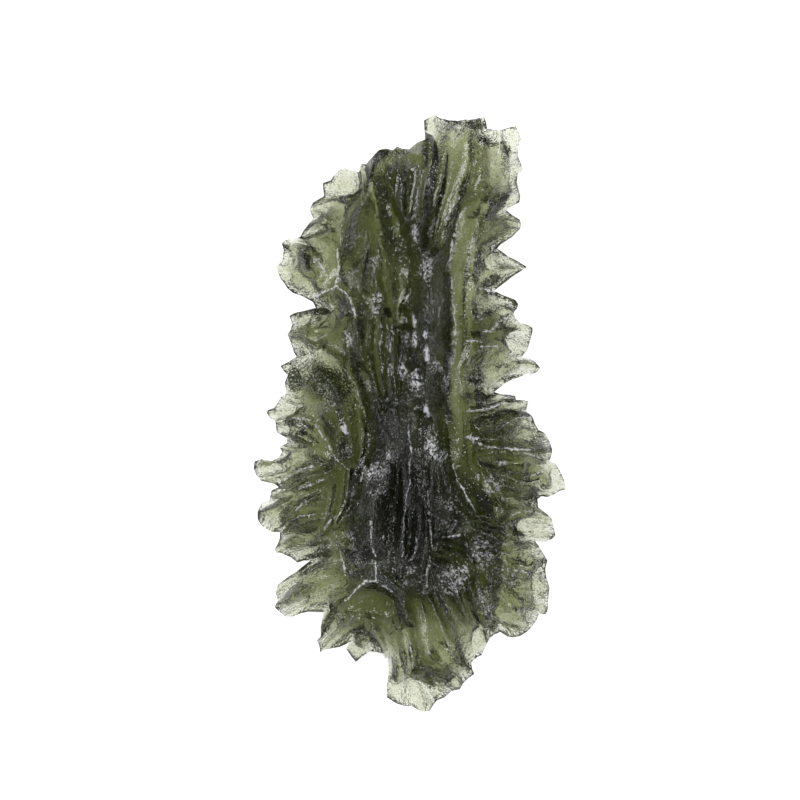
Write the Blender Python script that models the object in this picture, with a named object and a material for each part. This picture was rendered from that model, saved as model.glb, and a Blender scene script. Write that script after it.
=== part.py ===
"""A moldavite: one piece of natural bottle-green glass, etched in the ground into ribs, troughs and thin fins.

It lies on its back with its long side along Y and the deeply grooved face up. The origin is the middle of its
footprint, on the surface it rests on. Units are metres, +Z up.

The plan is drawn in steps of about a twentieth of a millimetre, x to the right and y downwards, and
plan_to_metres turns its places into metres. Heights are in millimetres.
"""

import math

import bmesh
import bpy
import numpy as np
from mathutils import Vector
from mathutils.geometry import delaunay_2d_cdt

# Driving dimensions
LENGTH = 0.030  # along Y, tip to tip
MM = 0.001

# Heights, in millimetres
REST_TO_MIDDLE = 2.5  # from the resting plane to the middle surface that the rim follows
EDGE = 0.26  # how thick the glass is at the very rim
FACE_RISE = 2.7  # how far the crests of the face climb inwards from the rim
FACE_REACH = 2.1  # the distance over which they do
TRUNK_RISE = 1.5  # what the trunk adds along its own axis
TRUNK_REACH = 3.0
BACK_DEPTH = 2.65  # how far the crests of the back reach below the middle surface
BACK_REACH = 1.75
TROUGH_SLOPE = 0.65  # a trough's depth over its width
FACE_TROUGH = 0.62  # the most that a trough takes of the height of the face
BACK_TROUGH = 0.38
CREST_DROP = 0.34  # how much lower the lowest crest is than the highest, as a share
CREST_SPREAD = 2.0  # how far, in steps, a crest keeps its own height before its neighbours' counts
LIFT = 1.0  # the most that a fin stands above or below the middle surface at the rim
LEAST_LIFT = 0.45  # the least, as a share of that
LIFT_REACH = 1.9
LIFT_SPREAD = 4.0  # in steps
LIFTED_POINTS = 3  # how many points of a crest, from its tip, count as the fin that is lifted
BACK_POINTS = 4  # and how many of them show on the back
SCOOP_WALL = 1.8  # rise over run of the wall round a scoop
CHANNEL_WALL = 1.9  # the same beside a channel
SCOOP_DISH = 0.2  # how much higher a scoop's edge is than its middle, as a share
FOOT_WALL = 1.2  # rise over run of the flank of a worn foot

# Spacing of the mesh, in steps of the drawing
CREST_SPACING = 9.0
FIELD_SPACING = 8.4
SNAP = 4.0  # points nearer than this become one
CLEAR = 4.7  # a field point stays this far from every other
FIELD_JITTER = 0.22  # how far a field point strays from its even place, as a share of the spacing
FOOT_SIDES = 10
TINY = 1e-6

TRUNK_AXIS = [(432, 236), (420, 300), (412, 400), (404, 500), (402, 570)]

# Three crests of the back worn flat, which it rests on: middle, half width and half length, in steps
FEET = [((404, 216), 8, 21), ((384, 505), 8, 20), ((464, 524), 8, 19)]

# The rim, clockwise from the crown, flake by flake
RIM = {
    "crown": [(424, 120), (430, 116), (435, 114), (440, 118), (449, 121), (458, 121), (465, 119), (476, 119),
              (484, 118), (486, 124), (487, 130)],
    "right shoulder": [(500, 130), (510, 128), (516, 127), (521, 140), (518, 148), (518, 156), (524, 169),
                       (518, 173), (517, 182), (520, 197), (519, 203), (511, 207), (506, 210)],
    "shoulder fin": [(511, 214), (520, 219), (522, 225), (520, 229), (512, 237), (500, 245), (497, 249)],
    "right spike": [(503, 253), (508, 257), (515, 260), (527, 267), (521, 271), (512, 277), (503, 284), (494, 291)],
    "blunt fin": [(502, 295), (510, 298), (515, 300), (518, 304), (517, 309), (514, 312), (515, 318)],
    "pale fin": [(520, 323), (527, 325), (532, 328), (532, 332), (529, 345), (528, 350), (524, 354), (521, 358)],
    "right claw": [(529, 358), (535, 362), (540, 368), (537, 372), (531, 375), (529, 373), (520, 377), (511, 380),
                   (503, 385), (494, 392)],
    "stepped fin": [(500, 394), (510, 395), (515, 396), (516, 400), (522, 400), (529, 401), (526, 411), (532, 416),
                    (535, 424)],
    "right fan": [(539, 430), (545, 433), (548, 437), (550, 442), (552, 450), (551, 458), (550, 461)],
    "right tooth": [(555, 463), (559, 469), (563, 477), (566, 484), (566, 490), (560, 491), (553, 495), (547, 497),
                    (541, 496), (537, 499)],
    "clear lobe": [(538, 507), (547, 514), (552, 519), (553, 524), (555, 535), (551, 539), (545, 542), (535, 541)],
    "knuckle": [(539, 546), (542, 551), (547, 560), (545, 568)],
    "long fin": [(546, 576), (550, 588), (548, 600), (547, 610), (545, 614), (539, 613)],
    "round lobe": [(536, 621), (532, 627), (527, 632), (520, 636), (513, 637), (507, 636), (500, 631)],
    "lower step": [(494, 634), (490, 638), (485, 648), (482, 655), (477, 657), (471, 662)],
    "lower tooth": [(472, 668), (474, 673), (468, 678), (463, 684), (460, 690), (452, 691), (448, 694), (444, 697),
                    (437, 699)],
    "foot": [(433, 705), (430, 711), (422, 713), (417, 710), (413, 707), (405, 706), (397, 703), (387, 696),
             (387, 684), (389, 670), (388, 658)],
    "foot step": [(385, 658), (383, 654), (376, 652), (370, 651)],
    "grey flake": [(362, 656), (356, 661), (351, 655), (346, 648), (351, 641)],
    "lower claw": [(346, 644), (340, 647), (326, 650), (320, 653), (319, 645), (317, 640), (321, 636), (321, 626),
                   (324, 612)],
    "great fin": [(316, 612), (308, 612), (300, 614), (293, 617), (286, 618), (280, 612), (275, 606), (278, 600),
                  (275, 592), (278, 585), (288, 577), (296, 572), (303, 566), (311, 560)],
    "left sliver": [(304, 560), (298, 562), (291, 557), (285, 555), (280, 553), (276, 553), (274, 550), (277, 545),
                    (280, 538), (280, 532)],
    "left paddle": [(271, 532), (262, 526), (258, 519), (258, 511), (262, 502), (269, 500), (272, 490), (279, 487)],
    "left finger": [(275, 484), (261, 481), (256, 475), (254, 468), (255, 461), (262, 459), (272, 461), (279, 457),
                    (282, 452)],
    "left comb": [(279, 447), (287, 443), (287, 438), (277, 432), (275, 421)],
    "pale claw": [(270, 418), (267, 413), (268, 410), (274, 408), (278, 402), (281, 396), (286, 394)],
    "left steps": [(285, 388), (285, 382), (288, 375), (284, 371), (281, 366), (287, 363), (297, 357)],
    "left shell": [(294, 352), (290, 341), (287, 334), (290, 330), (292, 324), (290, 316), (295, 313), (305, 311),
                   (316, 308)],
    "left ear": [(313, 302), (302, 296), (293, 293), (287, 288), (284, 283), (280, 278), (276, 267), (282, 261),
                 (284, 250), (282, 244), (288, 238), (293, 239), (300, 237)],
    "stair": [(304, 231), (307, 227), (313, 218)],
    "upper spur": [(309, 209), (313, 202), (324, 196)],
    "pale flake": [(323, 184), (331, 181), (334, 176), (340, 170), (346, 168), (352, 170), (359, 172)],
    "left shoulder": [(361, 163), (366, 164), (371, 159), (379, 151), (386, 149), (393, 150), (397, 146),
                      (402, 148), (409, 149), (417, 143), (425, 140)],
}

# Crests of the fins. Each starts at the rim and runs inwards, and its first points show on the back too.
FINS = [
    [(432, 114), (431, 130)],
    [(449, 121), (450, 130)],
    [(470, 119), (470, 130)],
    [(484, 119), (488, 132)],
    [(500, 130), (500, 143)],
    [(511, 128), (511, 143)],
    [(523, 169), (512, 170), (508, 178)],
    [(519, 200), (505, 203), (490, 206), (474, 212)],
    [(521, 224), (505, 222), (490, 228), (478, 236), (468, 244)],
    [(526, 266), (510, 259), (500, 255), (488, 252), (470, 247)],
    [(526, 266), (512, 268), (500, 272), (487, 282), (474, 290)],
    [(517, 304), (505, 300), (492, 296), (480, 293), (466, 292)],
    [(515, 313), (505, 308), (497, 322), (490, 331), (480, 336), (469, 340)],
    [(532, 330), (515, 328), (500, 330), (490, 332)],
    [(528, 350), (512, 345), (495, 344), (480, 342), (467, 342)],
    [(540, 368), (525, 364), (510, 368), (500, 376), (488, 380), (474, 378)],
    [(531, 374), (515, 378), (503, 384), (496, 388)],
    [(515, 397), (500, 395), (485, 400), (472, 402), (462, 396)],
    [(529, 402), (515, 400), (505, 403), (492, 408), (480, 410), (466, 411)],
    [(532, 417), (520, 417), (505, 425), (493, 430), (478, 430)],
    [(548, 437), (532, 434), (518, 430), (505, 437)],
    [(552, 450), (530, 449), (512, 449), (495, 447), (480, 444), (468, 440)],
    [(550, 460), (541, 463), (533, 458), (522, 453), (508, 454)],
    [(549, 479), (541, 472), (527, 477), (515, 471), (502, 466)],
    [(566, 486), (556, 480), (546, 471)],
    [(537, 499), (528, 492), (515, 488), (500, 485), (487, 476)],
    [(553, 524), (540, 515), (525, 510), (510, 514), (497, 513), (484, 505)],
    [(555, 535), (540, 532), (522, 535), (505, 533), (490, 530), (476, 524)],
    [(541, 550), (528, 545), (512, 548), (500, 552), (490, 546), (476, 538)],
    [(547, 560), (535, 562), (526, 572), (512, 570), (495, 567), (483, 572)],
    [(550, 588), (540, 590), (531, 582), (526, 572)],
    [(547, 610), (536, 606), (522, 600), (510, 604), (498, 612)],
    [(532, 627), (515, 622), (500, 620), (490, 614), (478, 606)],
    [(500, 631), (492, 622), (484, 614), (474, 600), (468, 585), (467, 565), (462, 545)],
    [(486, 645), (480, 630), (472, 622), (462, 608), (456, 590), (448, 574), (438, 562)],
    [(474, 673), (462, 665), (452, 655), (445, 640), (440, 622), (432, 608), (421, 597), (414, 586)],
    [(460, 690), (452, 680), (440, 668), (429, 658)],
    [(437, 699), (430, 685), (420, 675), (414, 655), (411, 635), (406, 620)],
    [(422, 712), (420, 695), (412, 680), (405, 668), (402, 650), (398, 630), (393, 612)],
    [(388, 697), (395, 685), (398, 670), (395, 650), (389, 630)],
    [(386, 657), (383, 645), (378, 632), (370, 620)],
    [(355, 660), (357, 648), (362, 638), (372, 628)],
    [(320, 652), (330, 642), (342, 632), (352, 622), (364, 611), (376, 602)],
    [(317, 640), (326, 630), (334, 618), (340, 608), (346, 600), (357, 590), (366, 581), (375, 578)],
    [(286, 618), (298, 608), (312, 600), (325, 597), (338, 596), (348, 590)],
    [(275, 606), (290, 600), (300, 592), (310, 585), (322, 582)],
    [(275, 592), (285, 585), (296, 580), (308, 578), (320, 570), (332, 565), (343, 560)],
    [(298, 562), (305, 555), (318, 552), (330, 548), (341, 546)],
    [(274, 551), (285, 545), (298, 540), (312, 543), (324, 540)],
    [(280, 536), (292, 528), (303, 524), (314, 518)],
    [(271, 531), (282, 524), (290, 515), (298, 507), (306, 502), (318, 496)],
    [(258, 514), (270, 510), (282, 505), (292, 498), (302, 494)],
    [(263, 501), (275, 497), (288, 493), (300, 489), (312, 484), (325, 478)],
    [(272, 490), (285, 485), (300, 480), (312, 477), (324, 473), (334, 469)],
    [(257, 478), (270, 477), (285, 474), (300, 470), (314, 466)],
    [(254, 466), (270, 466), (283, 463), (293, 458), (302, 452), (312, 454), (324, 454)],
    [(280, 447), (292, 449), (302, 451)],
    [(277, 432), (290, 433), (303, 438), (316, 446)],
    [(276, 422), (288, 419), (300, 418), (311, 421), (320, 427), (327, 435), (331, 445), (335, 455), (339, 462),
     (351, 470), (354, 486), (348, 502), (336, 516), (326, 529), (318, 538)],
    [(267, 412), (278, 413), (290, 412), (301, 411)],
    [(281, 396), (290, 400), (299, 404), (305, 412)],
    [(281, 366), (292, 362), (303, 352), (315, 350), (328, 352), (338, 358), (345, 368), (351, 380), (357, 396),
     (362, 415), (367, 428), (376, 419), (381, 402)],
    [(287, 334), (300, 335), (315, 330), (330, 328), (342, 322)],
    [(290, 316), (305, 315), (318, 314), (328, 319)],
    [(278, 267), (285, 272), (295, 280), (305, 288), (314, 297), (322, 294), (333, 288), (337, 275), (338, 262),
     (337, 248), (333, 236), (328, 224)],
    [(284, 245), (295, 246), (305, 252), (312, 262), (318, 272), (323, 284)],
    [(288, 239), (302, 240), (315, 240), (326, 237)],
    [(304, 232), (312, 228), (322, 222), (331, 213), (336, 204)],
    [(310, 209), (320, 208), (332, 203), (345, 200), (355, 201), (359, 214)],
    [(324, 184), (335, 186), (348, 187), (357, 188)],
    [(361, 163), (364, 180), (363, 195), (359, 214), (356, 232), (352, 250)],
    [(379, 151), (374, 166)],
    [(402, 148), (400, 160)],
    [(425, 141), (422, 154)],
]

# Crests that show on the face only, mostly the long ribs of the trunk
RIBS = [
    [(333, 288), (342, 291), (350, 300), (354, 311), (356, 325), (360, 342), (367, 356)],
    [(391, 318), (391, 345), (390, 372), (393, 398), (396, 420), (392, 445), (394, 462)],
    [(424, 326), (424, 348), (428, 364), (431, 385), (429, 408)],
    [(440, 402), (438, 425), (436, 450), (431, 475), (429, 500), (430, 525), (431, 550), (427, 572), (421, 592)],
    [(404, 462), (404, 485), (405, 510), (403, 530), (402, 556), (400, 575)],
    [(418, 512), (418, 535), (414, 556)],
    [(386, 440), (388, 460), (384, 480), (376, 500), (374, 520), (372, 542), (377, 560), (374, 577), (384, 584),
     (393, 591), (402, 604)],
    [(376, 420), (371, 440), (366, 460), (361, 475), (357, 488)],
    [(341, 546), (343, 560), (345, 573), (349, 586)],
    [(320, 372), (332, 376), (341, 388), (346, 402), (350, 420)],
    [(310, 385), (318, 400), (324, 414), (334, 426)],
    [(455, 520), (446, 534), (440, 548), (438, 562)],
    [(486, 572), (489, 588), (490, 602)],
    [(431, 130), (432, 150), (431, 180), (432, 200), (428, 215), (423, 230), (421, 250), (420, 275)],
    [(450, 130), (450, 140), (449, 165), (444, 181), (440, 197), (435, 214), (431, 232)],
    [(470, 130), (469, 158), (462, 172), (460, 190), (455, 205), (447, 215), (443, 230), (441, 250), (440, 275),
     (437, 300), (436, 325)],
    [(488, 132), (489, 160), (486, 180), (482, 196), (474, 206), (463, 212), (456, 223), (452, 240), (451, 265),
     (450, 290), (454, 312), (455, 335), (453, 352), (448, 372), (443, 385), (442, 402), (447, 418), (450, 436),
     (451, 462), (456, 482), (466, 497), (478, 510)],
    [(500, 143), (500, 160), (498, 175), (490, 195), (478, 208)],
    [(511, 143), (510, 165), (508, 185), (500, 200)],
    [(374, 166), (370, 182), (369, 200), (372, 222), (377, 242), (372, 256), (368, 272), (366, 290)],
    [(400, 160), (396, 185), (396, 208), (401, 232), (408, 252), (411, 275), (409, 300)],
    [(422, 154), (421, 180), (419, 205), (417, 225)],
]

# Crests of the back's own ribs
BACK_RIBS = [
    [(434, 228), (428, 260), (424, 330), (430, 400), (424, 470), (418, 540), (424, 600)],
    [(472, 232), (462, 300), (468, 360), (474, 420), (468, 480), (462, 540)],
    [(402, 240), (392, 300), (396, 370), (384, 440), (386, 500), (380, 560)],
    [(372, 220), (362, 280), (358, 340), (352, 400), (344, 460), (352, 520)],
    [(500, 400), (496, 440), (500, 480), (494, 530), (486, 580)],
]

# Smooth channels etched into the face: a path with its half width at each point, and the height in mm at its
# first and last point
CHANNELS = {
    "right trough": ([(480, 206, 5), (469, 219, 8), (463, 240, 9), (460, 270, 10), (461, 300, 9), (462, 330, 8),
                      (461, 350, 8), (455, 368, 8), (452, 386, 8), (453, 405, 8), (459, 425, 8), (461, 445, 8),
                      (464, 465, 9), (471, 481, 10), (483, 495, 10), (493, 506, 7)], 0.45, 1.0),
    "crown light strip": ([(460, 134, 9), (460, 145, 10), (458, 162, 9), (452, 182, 7), (447, 200, 6),
                           (441, 218, 5), (435, 240, 4)], 0.4, 0.8),
    "crown dark strip": ([(440, 134, 9), (440, 160, 9), (436, 185, 8), (431, 208, 4)], 0.95, 1.3),
    "crown right strip": ([(479, 146, 8), (478, 165, 8), (474, 190, 6)], 0.6, 0.8),
    "yellow strip": ([(496, 140, 5), (496, 160, 5), (490, 178, 2)], 0.1, 0.3),
    "crown middle strip": ([(415, 154, 8), (412, 185, 7), (408, 214, 5)], 0.7, 1.1),
    "crown left strip": ([(394, 160, 5), (394, 185, 6), (397, 210, 4)], 0.7, 1.1),
    "left olive trough": ([(376, 166, 6), (380, 184, 7), (385, 212, 9), (391, 245, 10), (396, 270, 10), (398, 292, 8),
                           (397, 318, 4)], 0.75, 1.2),
    "lower olive trough": ([(379, 322, 7), (378, 345, 9), (380, 372, 8), (384, 396, 4)], 1.3, 1.7),
    "rib groove": ([(397, 330, 2), (397, 365, 3), (400, 395, 2)], 1.8, 2.2),
    "ear facet": ([(331, 250, 6), (330, 268, 7), (322, 282, 6)], 0.5, 0.5),
    "ear hollow": ([(306, 256, 5), (309, 270, 5)], 1.0, 1.0),
    "shell root": ([(332, 298, 7), (343, 314, 6)], 1.4, 1.7),
    "shell face": ([(324, 320, 9), (314, 334, 8)], 0.6, 0.6),
    "crescent": ([(313, 355, 4), (322, 356, 5), (331, 361, 5), (339, 368, 4), (346, 378, 3), (352, 390, 2),
                  (356, 400, 1)], 0.0, 0.5),
    "leaf": ([(351, 398, 3), (358, 415, 6), (361, 432, 7), (361, 450, 5), (358, 462, 2)], 1.0, 1.2),
    "second leaf": ([(347, 472, 7), (345, 492, 8), (340, 510, 6), (336, 523, 3)], 1.2, 1.3),
    "comb": ([(300, 430, 7), (316, 436, 8), (324, 450, 7)], 0.6, 0.8),
    "paddle": ([(300, 515, 6), (320, 512, 6)], 0.8, 1.0),
    "lower trough": ([(421, 602, 2), (426, 616, 5), (432, 632, 8), (438, 650, 11)], 0.7, 0.3),
    "apex facet": ([(356, 606, 9), (370, 604, 13), (384, 608, 10)], 1.1, 1.3),
    "foot channel": ([(408, 632, 3), (410, 655, 3), (414, 678, 3)], 0.7, 0.5),
    "fan trough": ([(478, 424, 3), (505, 418, 4), (525, 409, 4)], 1.5, 0.8),
    "lower fan trough": ([(478, 459, 7), (500, 462, 8), (520, 464, 5)], 1.4, 0.9),
    "knuckle facet": ([(510, 557, 5), (528, 561, 6)], 0.8, 0.6),
    "lobe facet": ([(503, 590, 5), (519, 613, 7)], 0.8, 0.5),
    "step facet": ([(478, 618, 6), (483, 646, 6)], 0.8, 0.4),
    "tooth facet": ([(527, 484, 4), (541, 483, 6)], 0.4, 0.3),
    "lower right trough": ([(441, 548, 5), (456, 552, 5), (478, 566, 4)], 1.6, 1.4),
}

# Scoops etched into the glass from both sides, where it is thin: middle, half sizes, turn in degrees, and the
# height of the face and of the back over the middle surface in mm
SCOOPS = {
    "pale fin": ((520, 342), (14, 13), 20, 0.10),
    "spike root": ((492, 262), (9, 10), 0, 0.35),
    "spike facet": ((510, 274), (10, 5), -10, 0.25),
    "tooth": ((559, 480), (7, 15), -10, 0.1),
    "clear lobe": ((535, 528), (18, 10), 10, 0.32),
    "clear lobe root": ((514, 527), (13, 8), 10, 0.85),
    "long fin": ((536, 590), (5, 15), -5, 0.35),
    "shoulder top": ((503, 135), (15, 8), 0, 0.12),
    "shoulder side": ((515, 165), (6, 32), 0, 0.12),
    "foot knob": ((412, 692), (22, 14), 0, 0.20),
    "pale flake": ((345, 184), (17, 12), 0, 0.28),
    "upper spur": ((321, 207), (9, 5), 20, 0.45),
    "crown corner": ((431, 127), (5, 13), 0, 0.22),
    "shoulder foot": ((512, 203), (9, 5), -20, 0.20),
    "left ear lobe": ((283, 271), (10, 5), 40, 0.25),
    "blunt fin window": ((504, 312), (5, 6), 0, 0.40),
    "claw": ((527, 367), (11, 5), 15, 0.32),
    "pale claw": ((286, 409), (14, 6), -10, 0.28),
    "comb edge": ((282, 426), (5, 5), 0, 0.28),
    "left finger": ((270, 470), (14, 8), 8, 0.32),
    "left paddle": ((271, 518), (11, 8), 30, 0.55),
    "tooth root": ((536, 484), (9, 6), 0, 0.85),
    "round lobe": ((516, 628), (14, 6), -10, 0.5),
    "lower step": ((478, 640), (8, 15), 10, 0.34),
    "lower tooth": ((458, 680), (9, 6), -30, 0.42),
    "great fin": ((300, 603), (17, 7), -8, 0.65),
    "great fin tip": ((282, 591), (5, 6), 0, 0.34),
    "great fin eye": ((333, 584), (9, 5), -15, 0.70),
    "lower claw": ((333, 641), (13, 5), -25, 0.34),
    "grey flake": ((357, 651), (6, 6), 0, 0.26),
    "sliver": ((301, 557), (9, 3), 0, 0.24),
}


def seeded(index, salt):
    """A fixed number from -1 to 1 that looks random."""
    return math.sin(index * 12.9898 + salt * 78.233) * 43758.5453 % 2.0 - 1.0


def rim_points():
    return [point for flake in RIM.values() for point in flake]


LEFT, RIGHT = (pick(x for x, _ in rim_points()) for pick in (min, max))
UPPER, LOWER = (pick(y for _, y in rim_points()) for pick in (min, max))
STEP = LENGTH / (LOWER - UPPER)
STEPS_PER_MM = MM / STEP


def evenly(path, spacing):
    """Points along a path of straight runs, about one spacing apart, with its own corners kept."""
    made = [path[0]]
    for start, end in zip(path, path[1:]):
        count = max(1, round(math.dist(start, end) / spacing))
        for i in range(1, count + 1):
            share = i / count
            made.append((start[0] + (end[0] - start[0]) * share, start[1] + (end[1] - start[1]) * share))
    return made


def distance_to_path(points, path):
    """Each point's distance to a path of straight runs, in the drawing's steps."""
    nearest = np.full(len(points), np.inf)
    for start, end in zip(np.array(path[:-1], float), np.array(path[1:], float)):
        run = end - start
        share = np.clip((points - start) @ run / (run @ run), 0.0, 1.0)
        gap = points - (start + share[:, None] * run)
        nearest = np.minimum(nearest, np.hypot(gap[:, 0], gap[:, 1]))
    return nearest


def inside_rim(points):
    """Even-odd test of each point against the rim."""
    rim = np.array(rim_points(), float)
    inside = np.zeros(len(points), bool)
    for start, end in zip(rim, np.roll(rim, -1, axis=0)):
        crosses = (start[1] > points[:, 1]) != (end[1] > points[:, 1])
        height = end[1] - start[1] if end[1] != start[1] else 1.0
        at = start[0] + (points[:, 1] - start[1]) * (end[0] - start[0]) / height
        inside ^= crosses & (points[:, 0] < at)
    return inside


def plan_network():
    """Points and edges of the plan: the rim, every crest, and a loose field between them."""
    points = []
    edges = []

    def place(spot, within):
        for i, other in enumerate(points):
            if math.dist(spot, other) < within:
                return i
        points.append(spot)
        return len(points) - 1

    def ring(spots):
        first = len(points)
        points.extend(spots)
        edges.extend((first + i, first + (i + 1) % len(spots)) for i in range(len(spots)))

    ring(rim_points())
    for (x, y), half_width, half_length in FEET:
        turns = [2 * math.pi * i / FOOT_SIDES for i in range(FOOT_SIDES)]
        ring([(x + half_width * math.cos(turn), y + half_length * math.sin(turn)) for turn in turns])
    for crest in FINS + RIBS:
        line = [place(spot, SNAP) for spot in evenly(crest, CREST_SPACING)]
        edges += [(a, b) for a, b in zip(line, line[1:]) if a != b]
    spots = np.array(points, float)
    row_height = FIELD_SPACING * math.sqrt(3) / 2
    columns = int((RIGHT - LEFT) / FIELD_SPACING) + 1
    field = []
    for row in range(int((LOWER - UPPER) / row_height) + 1):
        for column in range(columns):
            index = row * columns + column
            stray_x, stray_y = FIELD_JITTER * seeded(index, 1), FIELD_JITTER * seeded(index, 2)
            x = LEFT + (column + 0.5 * (row % 2) + stray_x) * FIELD_SPACING
            field.append((x, UPPER + (row + stray_y) * row_height))
    field = np.array(field)
    field = field[inside_rim(field)]
    gaps = np.hypot(field[:, None, 0] - spots[None, :, 0], field[:, None, 1] - spots[None, :, 1])
    field = field[gaps.min(axis=1) > CLEAR]
    return [Vector(p) for p in points] + [Vector(p) for p in field], edges


def troughs(points, crests, heights_mm, most):
    """The height of a face made of crests with smooth troughs between them, in millimetres.

    heights_mm is how high the tallest crest would stand at each point. Between two crests the glass sinks in
    a parabola, deeper where they stand further apart, but by no more than the share called most.
    """
    gaps = np.array([distance_to_path(points, crest) for crest in crests])
    nearest, second = np.sort(gaps, axis=0)[:2]
    width = nearest + second
    across = nearest / np.maximum(width, TINY)
    tall = np.array([1.0 - CREST_DROP * abs(seeded(i, 3)) for i in range(len(crests))])
    weights = 1.0 / (gaps**3 + CREST_SPREAD**3)
    crest_height = heights_mm * (tall @ weights) / weights.sum(axis=0)
    deepest = np.maximum(most * crest_height, TINY)
    depth = deepest * (1.0 - np.exp(-TROUGH_SLOPE * width / STEPS_PER_MM / deepest))
    return crest_height - depth * 4.0 * across * (1.0 - across)


def fin_lifts(points):
    """How far each point of the middle surface is lifted or lowered by the fins near it, in millimetres."""
    total = np.zeros(len(points))
    weights = np.zeros(len(points))
    for i, crest in enumerate(FINS):
        weight = 1.0 / (distance_to_path(points, crest[:LIFTED_POINTS]) ** 2 + LIFT_SPREAD**2)
        share = LEAST_LIFT + (1.0 - LEAST_LIFT) * abs(seeded(i, 4))
        total += weight * LIFT * (share if i % 2 else -share)
        weights += weight
    return total / weights


def scoop_floor(points):
    """How far a face stands from the middle surface over the scoops, in millimetres."""
    floor = np.full(len(points), np.inf)
    for (x, y), (half_x, half_y), turn, height in SCOOPS.values():
        cos, sin = math.cos(math.radians(turn)), math.sin(math.radians(turn))
        u = (points[:, 0] - x) * cos + (points[:, 1] - y) * sin
        v = (points[:, 1] - y) * cos - (points[:, 0] - x) * sin
        out = np.hypot(u / half_x, v / half_y)
        beyond = np.maximum(out - 1.0, 0.0) * min(half_x, half_y) / STEPS_PER_MM
        bowl = height * (1.0 - SCOOP_DISH * (1.0 - np.minimum(out, 1.0) ** 2))
        floor = np.minimum(floor, bowl + SCOOP_WALL * beyond)
    return floor


def channel_floor(points):
    """The height of the face over the channels, in millimetres above the middle surface."""
    floor = np.full(len(points), np.inf)
    for path, first, last in CHANNELS.values():
        knots = np.array(path, float)
        levels = np.linspace(first, last, len(knots))
        for start, end, low, high in zip(knots, knots[1:], levels, levels[1:]):
            run = (end - start)[:2]
            share = np.clip((points - start[:2]) @ run / (run @ run), 0.0, 1.0)
            gap = np.hypot(*(points - start[:2] - share[:, None] * run).T)
            half = start[2] + (end[2] - start[2]) * share
            level = low + (high - low) * share
            bowl = level * (1.0 - SCOOP_DISH * (1.0 - np.minimum(gap / half, 1.0) ** 2))
            floor = np.minimum(floor, bowl + CHANNEL_WALL * np.maximum(gap - half, 0.0) / STEPS_PER_MM)
    return floor


def worn_feet(points, bottom):
    """The bottom with the mounds that end in the three worn flats, in millimetres above the resting plane."""
    for (x, y), half_width, half_length in FEET:
        out = np.hypot((points[:, 0] - x) / half_width, (points[:, 1] - y) / half_length) - 1.0
        bottom = np.minimum(bottom, FOOT_WALL * np.maximum(out - TINY, 0.0) * half_width / STEPS_PER_MM)
    return bottom


def heights(points):
    """The top and the bottom of the glass at each point of the plan, in millimetres above the resting plane."""
    rim = rim_points()
    inset = distance_to_path(points, rim + rim[:1]) / STEPS_PER_MM
    to_axis = distance_to_path(points, TRUNK_AXIS) / STEPS_PER_MM
    climb = FACE_RISE * (1.0 - np.exp(-inset / FACE_REACH))
    trunk = TRUNK_RISE * np.exp(-((to_axis / TRUNK_REACH) ** 2)) * (1.0 - np.exp(-inset))
    face = troughs(points, FINS + RIBS, climb + trunk, FACE_TROUGH)
    scoops = scoop_floor(points)
    face = np.minimum(face, np.minimum(scoops, channel_floor(points)))
    deep = BACK_DEPTH * (1.0 - np.exp(-inset / BACK_REACH))
    back_crests = [crest[:BACK_POINTS] for crest in FINS] + BACK_RIBS
    back = np.minimum(troughs(points, back_crests, deep, BACK_TROUGH), scoops)
    middle = REST_TO_MIDDLE + fin_lifts(points) * np.exp(-inset / LIFT_REACH)
    inland = inset > TINY
    top = middle + EDGE / 2 + np.where(inland, face, 0.0)
    bottom = middle - EDGE / 2 - np.where(inland, back, 0.0)
    return top, np.maximum(worn_feet(points, bottom), 0.0)


def plan_to_metres(x, y, height_mm):
    return Vector(((x - (LEFT + RIGHT) / 2) * STEP, ((UPPER + LOWER) / 2 - y) * STEP, height_mm * MM))


def glass():
    """The bottle-green glass itself."""
    material = bpy.data.materials.new("moldavite glass")
    material.use_nodes = True
    shader = material.node_tree.nodes["Principled BSDF"]
    shader.inputs["Base Color"].default_value = (0.16, 0.20, 0.08, 1.0)
    shader.inputs["Roughness"].default_value = 0.25
    shader.inputs["Metallic"].default_value = 0.0
    return material


def stone():
    """The whole stone: the plan's plate, given its back and its face."""
    network, edges = plan_network()
    spots, _, faces, _, _, _ = delaunay_2d_cdt(network, edges, [], 1, TINY)
    mesh = bmesh.new()
    corners = [mesh.verts.new((spot.x, spot.y, 0.0)) for spot in spots]
    for face in faces:
        mesh.faces.new([corners[i] for i in face])
    loose = [corner for corner in corners if not corner.link_faces]
    bmesh.ops.delete(mesh, geom=loose, context="VERTS")
    plate = list(mesh.verts)
    raised = bmesh.ops.extrude_face_region(mesh, geom=mesh.faces[:])
    lifted = [item for item in raised["geom"] if isinstance(item, bmesh.types.BMVert)]
    for corners, is_top in ((plate, False), (lifted, True)):
        places = np.array([(corner.co.x, corner.co.y) for corner in corners])
        top, bottom = heights(places)
        for corner, height in zip(corners, top if is_top else bottom):
            corner.co = plan_to_metres(corner.co.x, corner.co.y, height)
    bmesh.ops.recalc_face_normals(mesh, faces=mesh.faces[:])
    data = bpy.data.meshes.new("moldavite")
    mesh.to_mesh(data)
    mesh.free()
    data.materials.append(glass())
    made = bpy.data.objects.new("moldavite", data)
    bpy.context.scene.collection.objects.link(made)
    return made


def main():
    for old in list(bpy.data.objects):
        bpy.data.objects.remove(old)
    stone()


main()
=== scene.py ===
# %% [markdown]
# # A moldavite, from its own glass
#
# A moldavite is a drop of green glass that was melted by a meteorite and has lain in the ground since. The
# ground's acids etched this one into a ribbed trunk, smooth troughs and thin ragged fins, and left the skin
# full of fine pits. The plain solid of the stone comes from the CAD model. This lesson gives the same stone
# its fine surface and its glass, and then its light.

# %% Load the plain solid and note its box
import math

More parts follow.
